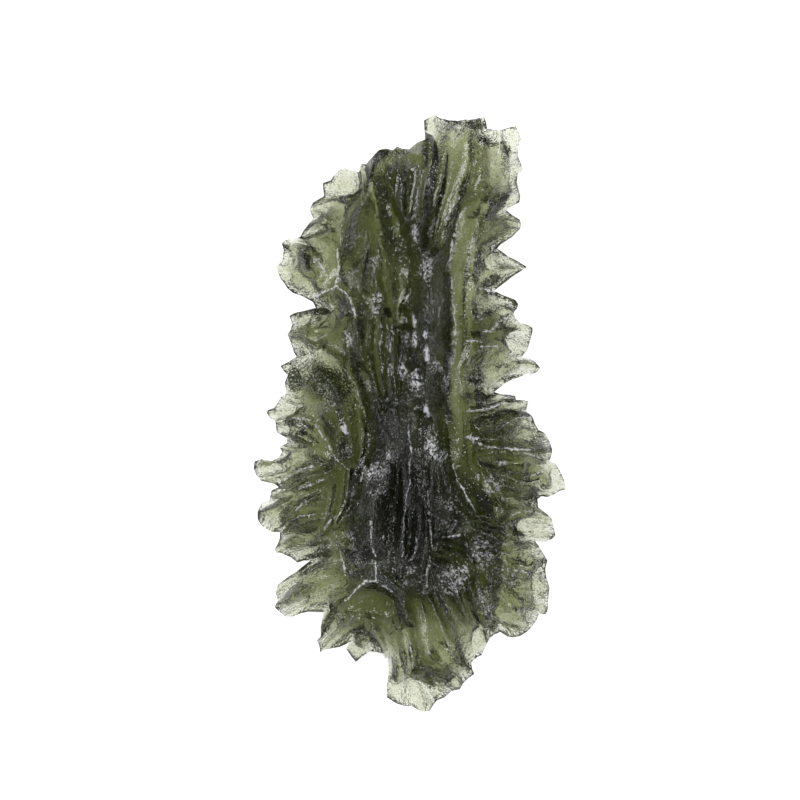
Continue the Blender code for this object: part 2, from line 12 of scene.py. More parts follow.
import bmesh
import bpy
import numpy as np
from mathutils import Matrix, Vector, noise
from mathutils.geometry import delaunay_2d_cdt


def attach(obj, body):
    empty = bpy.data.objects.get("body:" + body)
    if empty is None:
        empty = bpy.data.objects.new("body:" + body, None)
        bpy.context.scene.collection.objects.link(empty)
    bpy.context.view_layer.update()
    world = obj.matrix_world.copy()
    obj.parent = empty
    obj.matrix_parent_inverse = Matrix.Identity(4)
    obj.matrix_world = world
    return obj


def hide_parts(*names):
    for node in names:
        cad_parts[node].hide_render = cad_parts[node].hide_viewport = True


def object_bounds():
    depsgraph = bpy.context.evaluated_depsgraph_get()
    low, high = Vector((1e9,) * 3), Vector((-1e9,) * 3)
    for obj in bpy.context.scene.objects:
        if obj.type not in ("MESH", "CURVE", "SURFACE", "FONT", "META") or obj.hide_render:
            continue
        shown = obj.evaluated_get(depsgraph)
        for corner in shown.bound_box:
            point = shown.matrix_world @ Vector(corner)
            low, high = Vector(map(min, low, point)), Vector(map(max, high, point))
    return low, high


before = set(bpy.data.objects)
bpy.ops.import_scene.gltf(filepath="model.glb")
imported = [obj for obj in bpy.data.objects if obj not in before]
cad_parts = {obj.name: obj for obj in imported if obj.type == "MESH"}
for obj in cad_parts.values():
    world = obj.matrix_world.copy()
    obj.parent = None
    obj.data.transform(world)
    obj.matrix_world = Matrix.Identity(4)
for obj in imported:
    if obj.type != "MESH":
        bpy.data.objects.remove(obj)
CAD_BOX = [[float(value) for value in corner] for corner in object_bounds()]
print("the plain stone's box, in metres:", CAD_BOX)

# %% [markdown]
# ## The drawing of the stone
#
# The stone could be sculpted by hand, but then nobody could follow or change it. It is drawn instead, as a
# map: the rim, flake by flake, and the crest lines that run over its face and back. The map's steps are
# about a twentieth of a millimetre, x to the right and y down. The plain solid was made from the same map,
# with four slightly different heights.

# %% Sizes and heights, in millimetres where nothing else is said
LENGTH = 0.030  # metres, along Y
MM = 0.001
REST_TO_MIDDLE = 2.5  # from the resting plane to the middle surface that the rim follows
EDGE = 0.26  # how thick the glass is at the very rim
FACE_RISE = 2.7  # how far the crests of the face climb inwards from the rim
FACE_REACH = 2.1  # the distance over which they do
TRUNK_RISE = 1.5  # what the trunk adds along its own axis
TRUNK_REACH = 3.0
BACK_DEPTH = 2.65  # how far the crests of the back reach below the middle surface
BACK_REACH = 1.75
TROUGH_SLOPE = 0.65  # a trough's depth over its width
FACE_TROUGH = 0.62  # the most that a trough takes of the height of the face
BACK_TROUGH = 0.38
CREST_DROP = 0.34  # how much lower the lowest crest is than the highest, as a share
CREST_SPREAD = 2.0  # how far, in steps, a crest keeps its own height before its neighbours' counts
LIFT = 1.0  # the most that a fin stands above or below the middle surface at the rim
LEAST_LIFT = 0.45  # the least, as a share of that
LIFT_REACH = 1.9
LIFT_SPREAD = 4.0  # in steps
LIFTED_POINTS = 3  # how many points of a crest, from its tip, count as the fin that is lifted
BACK_POINTS = 4  # and how many of them show on the back
SCOOP_WALL = 1.8  # rise over run of the wall round a scoop
CHANNEL_WALL = 1.9  # the same beside a channel
SCOOP_DISH = 0.2  # how much higher a scoop's edge is than its middle, as a share
FOOT_WALL = 1.2  # rise over run of the flank of a worn foot
TINY = 1e-6
print("the stone is to be", LENGTH / MM, "mm long")

# %% [markdown]
# ## The trunk and the feet
#
# The trunk is the thick middle of the stone, and the stone lies on its back. It could be dropped in a
# simulation until it comes to rest. Three crests of the back, worn flat in one plane, hold it just as drawn.

# %% Trunk and feet
# The line that the trunk follows
TRUNK_AXIS = [(432, 236), (420, 300), (412, 400), (404, 500), (402, 570)]

# Each worn flat: middle, half width and half length, in steps
FEET = [((404, 216), 8, 21), ((384, 505), 8, 20), ((464, 524), 8, 19)]

print("it rests on", len(FEET), "worn flats")

# %% [markdown]
# ## The rim
#
# The real edge is a row of broken flakes, and each has its own outline. One noisy curve could stand for them,
# but the flakes are what this stone is known by. So each one is drawn, with the few points its corners need.

# %% The rim, clockwise from the crown, flake by flake
RIM = {
    "crown": [
        (424, 120), (430, 116), (435, 114), (440, 118), (449, 121), (458, 121), (465, 119), (476, 119),
        (484, 118), (486, 124), (487, 130),
    ],
    "right shoulder": [
        (500, 130), (510, 128), (516, 127), (521, 140), (518, 148), (518, 156), (524, 169), (518, 173),
        (517, 182), (520, 197), (519, 203), (511, 207), (506, 210),
    ],
    "shoulder fin": [(511, 214), (520, 219), (522, 225), (520, 229), (512, 237), (500, 245), (497, 249)],
    "right spike": [
        (503, 253), (508, 257), (515, 260), (527, 267), (521, 271), (512, 277), (503, 284), (494, 291),
    ],
    "blunt fin": [(502, 295), (510, 298), (515, 300), (518, 304), (517, 309), (514, 312), (515, 318)],
    "pale fin": [
        (520, 323), (527, 325), (532, 328), (532, 332), (529, 345), (528, 350), (524, 354), (521, 358),
    ],
    "right claw": [
        (529, 358), (535, 362), (540, 368), (537, 372), (531, 375), (529, 373), (520, 377), (511, 380),
        (503, 385), (494, 392),
    ],
    "stepped fin": [
        (500, 394), (510, 395), (515, 396), (516, 400), (522, 400), (529, 401), (526, 411), (532, 416),
        (535, 424),
    ],
    "right fan": [(539, 430), (545, 433), (548, 437), (550, 442), (552, 450), (551, 458), (550, 461)],
    "right tooth": [
        (555, 463), (559, 469), (563, 477), (566, 484), (566, 490), (560, 491), (553, 495), (547, 497),
        (541, 496), (537, 499),
    ],
    "clear lobe": [
        (538, 507), (547, 514), (552, 519), (553, 524), (555, 535), (551, 539), (545, 542), (535, 541),
    ],
    "knuckle": [(539, 546), (542, 551), (547, 560), (545, 568)],
    "long fin": [(546, 576), (550, 588), (548, 600), (547, 610), (545, 614), (539, 613)],
    "round lobe": [(536, 621), (532, 627), (527, 632), (520, 636), (513, 637), (507, 636), (500, 631)],
    "lower step": [(494, 634), (490, 638), (485, 648), (482, 655), (477, 657), (471, 662)],
    "lower tooth": [
        (472, 668), (474, 673), (468, 678), (463, 684), (460, 690), (452, 691), (448, 694), (444, 697),
        (437, 699),
    ],
    "foot": [
        (433, 705), (430, 711), (422, 713), (417, 710), (413, 707), (405, 706), (397, 703), (387, 696),
        (387, 684), (389, 670), (388, 658),
    ],
    "foot step": [(385, 658), (383, 654), (376, 652), (370, 651)],
    "grey flake": [(362, 656), (356, 661), (351, 655), (346, 648), (351, 641)],
    "lower claw": [
        (346, 644), (340, 647), (326, 650), (320, 653), (319, 645), (317, 640), (321, 636), (321, 626),
        (324, 612),
    ],
    "great fin": [
        (316, 612), (308, 612), (300, 614), (293, 617), (286, 618), (280, 612), (275, 606), (278, 600),
        (275, 592), (278, 585), (288, 577), (296, 572), (303, 566), (311, 560),
    ],
    "left sliver": [
        (304, 560), (298, 562), (291, 557), (285, 555), (280, 553), (276, 553), (274, 550), (277, 545),
        (280, 538), (280, 532),
    ],
    "left paddle": [
        (271, 532), (262, 526), (258, 519), (258, 511), (262, 502), (269, 500), (272, 490), (279, 487),
    ],
    "left finger": [
        (275, 484), (261, 481), (256, 475), (254, 468), (255, 461), (262, 459), (272, 461), (279, 457),
        (282, 452),
    ],
    "left comb": [(279, 447), (287, 443), (287, 438), (277, 432), (275, 421)],
    "pale claw": [(270, 418), (267, 413), (268, 410), (274, 408), (278, 402), (281, 396), (286, 394)],
    "left steps": [(285, 388), (285, 382), (288, 375), (284, 371), (281, 366), (287, 363), (297, 357)],
    "left shell": [
        (294, 352), (290, 341), (287, 334), (290, 330), (292, 324), (290, 316), (295, 313), (305, 311),
        (316, 308),
    ],
    "left ear": [
        (313, 302), (302, 296), (293, 293), (287, 288), (284, 283), (280, 278), (276, 267), (282, 261),
        (284, 250), (282, 244), (288, 238), (293, 239), (300, 237),
    ],
    "stair": [(304, 231), (307, 227), (313, 218)],
    "upper spur": [(309, 209), (313, 202), (324, 196)],
    "pale flake": [(323, 184), (331, 181), (334, 176), (340, 170), (346, 168), (352, 170), (359, 172)],
    "left shoulder": [
        (361, 163), (366, 164), (371, 159), (379, 151), (386, 149), (393, 150), (397, 146), (402, 148),
        (409, 149), (417, 143), (425, 140),
    ],
}

RIM_POINTS = [point for flake in RIM.values() for point in flake]
print("the rim has", len(RIM), "flakes and", len(RIM_POINTS), "points")

# %% [markdown]
# ## The fins and ribs
#
# Sharp crests are what acid leaves between two hollows. The fins stand out all round, and long ribs run down
# the trunk. Each could be a wedge of its own, but then hundreds of joints between wedges would show. So only
# the crest lines are drawn here, and further down the glass is hung between them in one surface.

# %% Crests of the fins
# Each starts at the rim and runs inwards, and its first points show on the back too
FINS = [
    [(432, 114), (431, 130)],
    [(449, 121), (450, 130)],
    [(470, 119), (470, 130)],
    [(484, 119), (488, 132)],
    [(500, 130), (500, 143)],
    [(511, 128), (511, 143)],
    [(523, 169), (512, 170), (508, 178)],
    [(519, 200), (505, 203), (490, 206), (474, 212)],
    [(521, 224), (505, 222), (490, 228), (478, 236), (468, 244)],
    [(526, 266), (510, 259), (500, 255), (488, 252), (470, 247)],
    [(526, 266), (512, 268), (500, 272), (487, 282), (474, 290)],
    [(517, 304), (505, 300), (492, 296), (480, 293), (466, 292)],
    [(515, 313), (505, 308), (497, 322), (490, 331), (480, 336), (469, 340)],
    [(532, 330), (515, 328), (500, 330), (490, 332)],
    [(528, 350), (512, 345), (495, 344), (480, 342), (467, 342)],
    [(540, 368), (525, 364), (510, 368), (500, 376), (488, 380), (474, 378)],
    [(531, 374), (515, 378), (503, 384), (496, 388)],
    [(515, 397), (500, 395), (485, 400), (472, 402), (462, 396)],
    [(529, 402), (515, 400), (505, 403), (492, 408), (480, 410), (466, 411)],
    [(532, 417), (520, 417), (505, 425), (493, 430), (478, 430)],
    [(548, 437), (532, 434), (518, 430), (505, 437)],
    [(552, 450), (530, 449), (512, 449), (495, 447), (480, 444), (468, 440)],
    [(550, 460), (541, 463), (533, 458), (522, 453), (508, 454)],
    [(549, 479), (541, 472), (527, 477), (515, 471), (502, 466)],
    [(566, 486), (556, 480), (546, 471)],
    [(537, 499), (528, 492), (515, 488), (500, 485), (487, 476)],
    [(553, 524), (540, 515), (525, 510), (510, 514), (497, 513), (484, 505)],
    [(555, 535), (540, 532), (522, 535), (505, 533), (490, 530), (476, 524)],
    [(541, 550), (528, 545), (512, 548), (500, 552), (490, 546), (476, 538)],
    [(547, 560), (535, 562), (526, 572), (512, 570), (495, 567), (483, 572)],
    [(550, 588), (540, 590), (531, 582), (526, 572)],
    [(547, 610), (536, 606), (522, 600), (510, 604), (498, 612)],
    [(532, 627), (515, 622), (500, 620), (490, 614), (478, 606)],
    [(500, 631), (492, 622), (484, 614), (474, 600), (468, 585), (467, 565), (462, 545)],
    [(486, 645), (480, 630), (472, 622), (462, 608), (456, 590), (448, 574), (438, 562)],
    [(474, 673), (462, 665), (452, 655), (445, 640), (440, 622), (432, 608), (421, 597), (414, 586)],
    [(460, 690), (452, 680), (440, 668), (429, 658)],
    [(437, 699), (430, 685), (420, 675), (414, 655), (411, 635), (406, 620)],
    [(422, 712), (420, 695), (412, 680), (405, 668), (402, 650), (398, 630), (393, 612)],
    [(388, 697), (395, 685), (398, 670), (395, 650), (389, 630)],
    [(386, 657), (383, 645), (378, 632), (370, 620)],
    [(355, 660), (357, 648), (362, 638), (372, 628)],
    [(320, 652), (330, 642), (342, 632), (352, 622), (364, 611), (376, 602)],
    [(317, 640), (326, 630), (334, 618), (340, 608), (346, 600), (357, 590), (366, 581), (375, 578)],
    [(286, 618), (298, 608), (312, 600), (325, 597), (338, 596), (348, 590)],
    [(275, 606), (290, 600), (300, 592), (310, 585), (322, 582)],
    [(275, 592), (285, 585), (296, 580), (308, 578), (320, 570), (332, 565), (343, 560)],
    [(298, 562), (305, 555), (318, 552), (330, 548), (341, 546)],
    [(274, 551), (285, 545), (298, 540), (312, 543), (324, 540)],
    [(280, 536), (292, 528), (303, 524), (314, 518)],
    [(271, 531), (282, 524), (290, 515), (298, 507), (306, 502), (318, 496)],
    [(258, 514), (270, 510), (282, 505), (292, 498), (302, 494)],
    [(263, 501), (275, 497), (288, 493), (300, 489), (312, 484), (325, 478)],
    [(272, 490), (285, 485), (300, 480), (312, 477), (324, 473), (334, 469)],
    [(257, 478), (270, 477), (285, 474), (300, 470), (314, 466)],
    [(254, 466), (270, 466), (283, 463), (293, 458), (302, 452), (312, 454), (324, 454)],
    [(280, 447), (292, 449), (302, 451)],
    [(277, 432), (290, 433), (303, 438), (316, 446)],
    [
        (276, 422), (288, 419), (300, 418), (311, 421), (320, 427), (327, 435), (331, 445), (335, 455),
        (339, 462), (351, 470), (354, 486), (348, 502), (336, 516), (326, 529), (318, 538),
    ],
    [(267, 412), (278, 413), (290, 412), (301, 411)],
    [(281, 396), (290, 400), (299, 404), (305, 412)],
    [
        (281, 366), (292, 362), (303, 352), (315, 350), (328, 352), (338, 358), (345, 368), (351, 380),
        (357, 396), (362, 415), (367, 428), (376, 419), (381, 402),
    ],
    [(287, 334), (300, 335), (315, 330), (330, 328), (342, 322)],
    [(290, 316), (305, 315), (318, 314), (328, 319)],
    [
        (278, 267), (285, 272), (295, 280), (305, 288), (314, 297), (322, 294), (333, 288), (337, 275),
        (338, 262), (337, 248), (333, 236), (328, 224),
    ],
    [(284, 245), (295, 246), (305, 252), (312, 262), (318, 272), (323, 284)],
    [(288, 239), (302, 240), (315, 240), (326, 237)],
    [(304, 232), (312, 228), (322, 222), (331, 213), (336, 204)],
    [(310, 209), (320, 208), (332, 203), (345, 200), (355, 201), (359, 214)],
    [(324, 184), (335, 186), (348, 187), (357, 188)],
    [(361, 163), (364, 180), (363, 195), (359, 214), (356, 232), (352, 250)],
    [(379, 151), (374, 166)],
    [(402, 148), (400, 160)],
    [(425, 141), (422, 154)],
]

# %% Crests of the ribs
# These show on the face only, and most are the long ribs of the trunk
RIBS = [
    [(333, 288), (342, 291), (350, 300), (354, 311), (356, 325), (360, 342), (367, 356)],
    [(391, 318), (391, 345), (390, 372), (393, 398), (396, 420), (392, 445), (394, 462)],
    [(424, 326), (424, 348), (428, 364), (431, 385), (429, 408)],
    [
        (440, 402), (438, 425), (436, 450), (431, 475), (429, 500), (430, 525), (431, 550), (427, 572),
        (421, 592),
    ],
    [(404, 462), (404, 485), (405, 510), (403, 530), (402, 556), (400, 575)],
    [(418, 512), (418, 535), (414, 556)],
    [
        (386, 440), (388, 460), (384, 480), (376, 500), (374, 520), (372, 542), (377, 560), (374, 577),
        (384, 584), (393, 591), (402, 604),
    ],
    [(376, 420), (371, 440), (366, 460), (361, 475), (357, 488)],
    [(341, 546), (343, 560), (345, 573), (349, 586)],
    [(320, 372), (332, 376), (341, 388), (346, 402), (350, 420)],
    [(310, 385), (318, 400), (324, 414), (334, 426)],
    [(455, 520), (446, 534), (440, 548), (438, 562)],
    [(486, 572), (489, 588), (490, 602)],
    [(431, 130), (432, 150), (431, 180), (432, 200), (428, 215), (423, 230), (421, 250), (420, 275)],
    [(450, 130), (450, 140), (449, 165), (444, 181), (440, 197), (435, 214), (431, 232)],
    [
        (470, 130), (469, 158), (462, 172), (460, 190), (455, 205), (447, 215), (443, 230), (441, 250),
        (440, 275), (437, 300), (436, 325),
    ],
    [
        (488, 132), (489, 160), (486, 180), (482, 196), (474, 206), (463, 212), (456, 223), (452, 240),
        (451, 265), (450, 290), (454, 312), (455, 335), (453, 352), (448, 372), (443, 385), (442, 402),
        (447, 418), (450, 436), (451, 462), (456, 482), (466, 497), (478, 510),
    ],
    [(500, 143), (500, 160), (498, 175), (490, 195), (478, 208)],
    [(511, 143), (510, 165), (508, 185), (500, 200)],
    [(374, 166), (370, 182), (369, 200), (372, 222), (377, 242), (372, 256), (368, 272), (366, 290)],
    [(400, 160), (396, 185), (396, 208), (401, 232), (408, 252), (411, 275), (409, 300)],
    [(422, 154), (421, 180), (419, 205), (417, 225)],
]

# These are the back's own
BACK_RIBS = [
    [(434, 228), (428, 260), (424, 330), (430, 400), (424, 470), (418, 540), (424, 600)],
    [(472, 232), (462, 300), (468, 360), (474, 420), (468, 480), (462, 540)],
    [(402, 240), (392, 300), (396, 370), (384, 440), (386, 500), (380, 560)],
    [(372, 220), (362, 280), (358, 340), (352, 400), (344, 460), (352, 520)],
    [(500, 400), (496, 440), (500, 480), (494, 530), (486, 580)],
]

print(len(FINS), "fins,", len(RIBS), "ribs on the face and", len(BACK_RIBS), "on the back")

# %% [markdown]
# ## Channels and scoops
#
# Smooth olive channels run down the face like ribbons, and the palest flakes are thin because acid scooped
# them from both sides. Cutters and booleans could carve them and would leave slivers along each cut. It is
# cleaner to say how high the face may stand over each of them, and to let its walls rise from there.

# %% Smooth channels etched into the face
# Each is a path with its half width at each point, and the height in mm at its first and last point
CHANNELS = {
    "right trough": ([
        (480, 206, 5), (469, 219, 8), (463, 240, 9), (460, 270, 10), (461, 300, 9), (462, 330, 8),
        (461, 350, 8), (455, 368, 8), (452, 386, 8), (453, 405, 8), (459, 425, 8), (461, 445, 8),
        (464, 465, 9), (471, 481, 10), (483, 495, 10), (493, 506, 7),
    ], 0.45, 1.0),
    "crown light strip": ([
        (460, 134, 9), (460, 145, 10), (458, 162, 9), (452, 182, 7), (447, 200, 6), (441, 218, 5),
        (435, 240, 4),
    ], 0.5, 0.8),
    "crown dark strip": ([(440, 134, 9), (440, 160, 9), (436, 185, 8), (431, 208, 4)], 0.95, 1.3),
    "crown right strip": ([(479, 146, 8), (478, 165, 8), (474, 190, 6)], 1.0, 1.0),
    "yellow strip": ([(496, 140, 5), (496, 160, 5), (490, 178, 2)], 0.1, 0.3),
    "crown middle strip": ([(415, 154, 8), (412, 185, 7), (408, 214, 5)], 0.7, 1.1),
    "crown left strip": ([(394, 160, 5), (394, 185, 6), (397, 210, 4)], 0.7, 1.1),
    "left olive trough": ([
        (376, 166, 6), (380, 184, 7), (385, 212, 9), (391, 245, 10), (396, 270, 10), (398, 292, 8),
        (397, 318, 4),
    ], 0.4, 0.8),
    "lower olive trough": ([(379, 322, 7), (378, 345, 9), (380, 372, 8), (384, 396, 4)], 1.3, 1.7),
    "rib groove": ([(397, 330, 2), (397, 365, 3), (400, 395, 2)], 1.8, 2.2),
    "ear facet": ([(331, 250, 6), (330, 268, 7), (322, 282, 6)], 0.5, 0.5),
    "ear hollow": ([(306, 256, 5), (309, 270, 5)], 1.0, 1.0),
    "shell root": ([(332, 298, 7), (343, 314, 6)], 1.4, 1.7),
    "shell face": ([(324, 320, 9), (314, 334, 8)], 0.6, 0.6),
    "crescent": ([
        (313, 355, 4), (322, 356, 5), (331, 361, 5), (339, 368, 4), (346, 378, 3), (352, 390, 2),
        (356, 400, 1),
    ], 0.0, 0.5),
    "leaf": ([(351, 398, 3), (358, 415, 6), (361, 432, 7), (361, 450, 5), (358, 462, 2)], 1.0, 1.2),
    "second leaf": ([(347, 472, 7), (345, 492, 8), (340, 510, 6), (336, 523, 3)], 1.2, 1.3),
    "comb": ([(300, 430, 7), (316, 436, 8), (324, 450, 7)], 0.6, 0.8),
    "paddle": ([(300, 515, 6), (320, 512, 6)], 0.8, 1.0),
    "lower trough": ([(421, 602, 2), (426, 616, 5), (432, 632, 8), (438, 650, 11)], 0.7, 0.3),
    "apex facet": ([(356, 606, 9), (370, 604, 13), (384, 608, 10)], 1.1, 1.3),
    "foot channel": ([(408, 632, 3), (410, 655, 3), (414, 678, 3)], 0.7, 0.5),
    "fan trough": ([(478, 424, 3), (505, 418, 4), (525, 409, 4)], 1.5, 0.8),
    "lower fan trough": ([(478, 459, 7), (500, 462, 8), (520, 464, 5)], 1.4, 0.9),
    "knuckle facet": ([(510, 557, 5), (528, 561, 6)], 0.8, 0.6),
    "lobe facet": ([(503, 590, 5), (519, 613, 7)], 0.8, 0.5),
    "step facet": ([(478, 618, 6), (483, 646, 6)], 0.8, 0.4),
    "tooth facet": ([(527, 484, 4), (541, 483, 6)], 0.4, 0.3),
    "lower right trough": ([(441, 548, 5), (456, 552, 5), (478, 566, 4)], 1.6, 1.4),
}

# %% Scoops etched into thin glass from both sides
# The middle, half sizes and turn in degrees of each, and how far it leaves the face and the back from the
# middle surface, in mm
SCOOPS = {
    "pale fin": ((520, 342), (14, 13), 20, 0.10),
    "spike root": ((492, 262), (9, 10), 0, 0.35),
    "spike facet": ((510, 274), (10, 5), -10, 0.25),
    "tooth": ((559, 480), (7, 15), -10, 0.1),
    "clear lobe": ((535, 528), (18, 10), 10, 0.26),
    "clear lobe root": ((514, 527), (13, 8), 10, 0.85),
    "long fin": ((536, 590), (5, 15), -5, 0.35),
    "shoulder top": ((503, 135), (15, 8), 0, 0.12),
    "shoulder side": ((515, 165), (6, 32), 0, 0.12),
    "foot knob": ((412, 692), (22, 14), 0, 0.20),
    "pale flake": ((345, 184), (17, 12), 0, 0.28),
    "upper spur": ((321, 207), (9, 5), 20, 0.45),
    "crown corner": ((431, 127), (5, 13), 0, 0.22),
    "shoulder foot": ((512, 203), (9, 5), -20, 0.20),
    "left ear lobe": ((283, 271), (10, 5), 40, 0.25),
    "blunt fin window": ((504, 312), (5, 6), 0, 0.40),
    "claw": ((527, 367), (11, 5), 15, 0.32),
    "pale claw": ((286, 409), (14, 6), -10, 0.28),
    "comb edge": ((282, 426), (5, 5), 0, 0.28),
    "left finger": ((270, 470), (14, 8), 8, 0.32),
    "left paddle": ((271, 518), (11, 8), 30, 0.55),
    "tooth root": ((536, 484), (9, 6), 0, 0.85),
    "round lobe": ((516, 628), (14, 6), -10, 0.5),
    "lower step": ((478, 640), (8, 15), 10, 0.34),
    "lower tooth": ((458, 680), (9, 6), -30, 0.42),
    "great fin": ((300, 603), (17, 7), -8, 0.65),
    "great fin tip": ((282, 591), (5, 6), 0, 0.34),
    "great fin eye": ((333, 584), (9, 5), -15, 0.70),
    "lower claw": ((333, 641), (13, 5), -25, 0.34),
    "grey flake": ((357, 651), (6, 6), 0, 0.26),
    "sliver": ((301, 557), (9, 3), 0, 0.24),
}

print(len(CHANNELS), "channels and", len(SCOOPS), "scoops")

# %% [markdown]
# ## From the map to heights
#
# Etching eats round hollows into glass, and where two hollows meet they leave a sharp crest. So the height
# between two crests is a parabola that hangs between them. For every point of the map the script finds the
# nearest crest and the next, and where it lies between the two says how deep it is in the hollow. A
# subdivided and displaced mesh could give hollows too, but it would round off every crest.

# %% Measuring on the map
RIM_LOOP = RIM_POINTS + RIM_POINTS[:1]
LEFT, RIGHT = (pick(x for x, _ in RIM_POINTS) for pick in (min, max))
UPPER, LOWER = (pick(y for _, y in RIM_POINTS) for pick in (min, max))
STEP = LENGTH / (LOWER - UPPER)
STEPS_PER_MM = MM / STEP
SEED_STRIDES = (12.9898, 78.233)
SEED_SCALE = 43758.5453
TALL_SEED = 3
LIFT_SEED = 4


def seeded(index, salt):
    """A fixed number from -1 to 1 that looks random."""
    return math.sin(index * SEED_STRIDES[0] + salt * SEED_STRIDES[1]) * SEED_SCALE % 2.0 - 1.0


def distance_to_path(points, path):
    """Each point's distance to a path of straight runs, in steps."""
    nearest = np.full(len(points), np.inf)
    for start, end in zip(np.array(path[:-1], float), np.array(path[1:], float)):
        run = end - start
        share = np.clip((points - start) @ run / (run @ run), 0.0, 1.0)
        gap = points - (start + share[:, None] * run)
        nearest = np.minimum(nearest, np.hypot(gap[:, 0], gap[:, 1]))
    return nearest


def turned(points, middle, half_sizes, turn):
    """The points' places across and along an ellipse that is turned by so many degrees, in its half sizes."""
    (x, y), (half_x, half_y) = middle, half_sizes
    cos, sin = math.cos(math.radians(turn)), math.sin(math.radians(turn))
    across = (points[:, 0] - x) * cos + (points[:, 1] - y) * sin
    along = (points[:, 1] - y) * cos - (points[:, 0] - x) * sin
    return across / half_x, along / half_y


def inside_rim(points):
    """Even-odd test of each point against the rim."""
    rim = np.array(RIM_POINTS, float)
    inside = np.zeros(len(points), bool)
    for start, end in zip(rim, np.roll(rim, -1, axis=0)):
        crosses = (start[1] > points[:, 1]) != (end[1] > points[:, 1])
        height = end[1] - start[1] if end[1] != start[1] else 1.0
        at = start[0] + (points[:, 1] - start[1]) * (end[0] - start[0]) / height
        inside ^= crosses & (points[:, 0] < at)
    return inside


def noise_at(points, grain, salt):
    """Smooth noise from -1 to 1 at each point, with lumps about one grain wide."""
    return np.array([noise.noise((x / grain, y / grain, salt)) for x, y in points])


print("one step of the map is", round(STEP * 1000, 4), "mm")

# %% [markdown]
# ## Wavering crests
#
# The map's crests are straight runs between a few points, and a natural crest wavers. Each crest could be
# given more points by hand. Bending the whole map a little, with two sizes of smooth noise, makes every crest
# waver and keeps crests, channels and scoops in step.

# %% Bending the map
WAVER = ((15.0, 1.6), (5.5, 0.7))  # grain and reach of each bend, in steps
WAVER_SALTS = (11.3, 47.9)  # where in the noise the bends to the right and down start
UNBEND_ROUNDS = 4


def bend(points):
    """The points moved by the bends of the map."""
    moved = np.array(points, float)
    for turn, (grain, reach) in enumerate(WAVER):
        for axis, salt in enumerate(WAVER_SALTS):
            moved[:, axis] += reach * noise_at(points, grain, salt + turn)
    return moved


def unbend(points):
    """Where a point lies that bend moves to each of these places."""
    found = np.array(points, float)
    for _ in range(UNBEND_ROUNDS):
        found += points - bend(found)
    return found


# %% [markdown]
# ## Troughs, fins, channels and feet
#
# Each of these is one feature of the real stone and one short function, which gives a height for every point
# of the map. Where features meet, the lower one wins on the face, as it does when acid eats into glass.

# %% Troughs between the crests
PARABOLA = 4.0  # makes the product of a share and its rest reach 1 in the middle


def troughs(points, crests, heights_mm, most):
    """Height of a face of crests with smooth troughs between them, and the distance to the nearest crest."""
    gaps = np.array([distance_to_path(points, crest) for crest in crests])
    nearest, second = np.sort(gaps, axis=0)[:2]
    width = nearest + second
    across = nearest / np.maximum(width, TINY)
    tall = np.array([1.0 - CREST_DROP * abs(seeded(i, TALL_SEED)) for i in range(len(crests))])
    weights = 1.0 / (gaps**3 + CREST_SPREAD**3)
    crest_height = heights_mm * (tall @ weights) / weights.sum(axis=0)
    deepest = np.maximum(most * crest_height, TINY)
    depth = deepest * (1.0 - np.exp(-TROUGH_SLOPE * width / STEPS_PER_MM / deepest))
    return crest_height - depth * PARABOLA * across * (1.0 - across), nearest


# %% Fins above and below the middle surface
def fin_lifts(points):
    """How far the middle surface is lifted or lowered by the fins near each point, in millimetres."""
    total = np.zeros(len(points))
    weights = np.zeros(len(points))
    for i, crest in enumerate(FINS):
        weight = 1.0 / (distance_to_path(points, crest[:LIFTED_POINTS]) ** 2 + LIFT_SPREAD**2)
        share = LEAST_LIFT + (1.0 - LEAST_LIFT) * abs(seeded(i, LIFT_SEED))
        total += weight * LIFT * (share if i % 2 else -share)
        weights += weight
    return total / weights


# %% Scoops and channels
SMOOTH_EDGE = 3.0  # a channel's smooth skin fades out over this many steps beside its floor


def scoop_floor(points):
    """How far a face stands from the middle surface over the scoops, in millimetres."""
    floor = np.full(len(points), np.inf)
    for middle, half_sizes, turn, height in SCOOPS.values():
        out = np.hypot(*turned(points, middle, half_sizes, turn))
        beyond = np.maximum(out - 1.0, 0.0) * min(half_sizes) / STEPS_PER_MM
        bowl = height * (1.0 - SCOOP_DISH * (1.0 - np.minimum(out, 1.0) ** 2))
        floor = np.minimum(floor, bowl + SCOOP_WALL * beyond)
    return floor


def channel_floor(points):
    """The height of the face over the channels, in millimetres, and how smooth its skin is."""
    floor = np.full(len(points), np.inf)
    smooth = np.zeros(len(points))
    for path, first, last in CHANNELS.values():
        knots = np.array(path, float)
        levels = np.linspace(first, last, len(knots))
        for start, end, low, high in zip(knots, knots[1:], levels, levels[1:]):
            run = (end - start)[:2]
            share = np.clip((points - start[:2]) @ run / (run @ run), 0.0, 1.0)
            gap = np.hypot(*(points - start[:2] - share[:, None] * run).T)
            half = start[2] + (end[2] - start[2]) * share
            level = low + (high - low) * share
            bowl = level * (1.0 - SCOOP_DISH * (1.0 - np.minimum(gap / half, 1.0) ** 2))
            floor = np.minimum(floor, bowl + CHANNEL_WALL * np.maximum(gap - half, 0.0) / STEPS_PER_MM)
            smooth = np.maximum(smooth, np.clip(1.0 - (gap - half) / SMOOTH_EDGE, 0.0, 1.0))
    return floor, smooth


# %% Worn feet
def worn_feet(points, bottom):
    """The bottom with the worn flats that the stone rests on."""
    for (x, y), half_width, half_length in FEET:
        out = np.hypot((points[:, 0] - x) / half_width, (points[:, 1] - y) / half_length) - 1.0
        bottom = np.minimum(bottom, FOOT_WALL * np.maximum(out - TINY, 0.0) * half_width / STEPS_PER_MM)
    return bottom


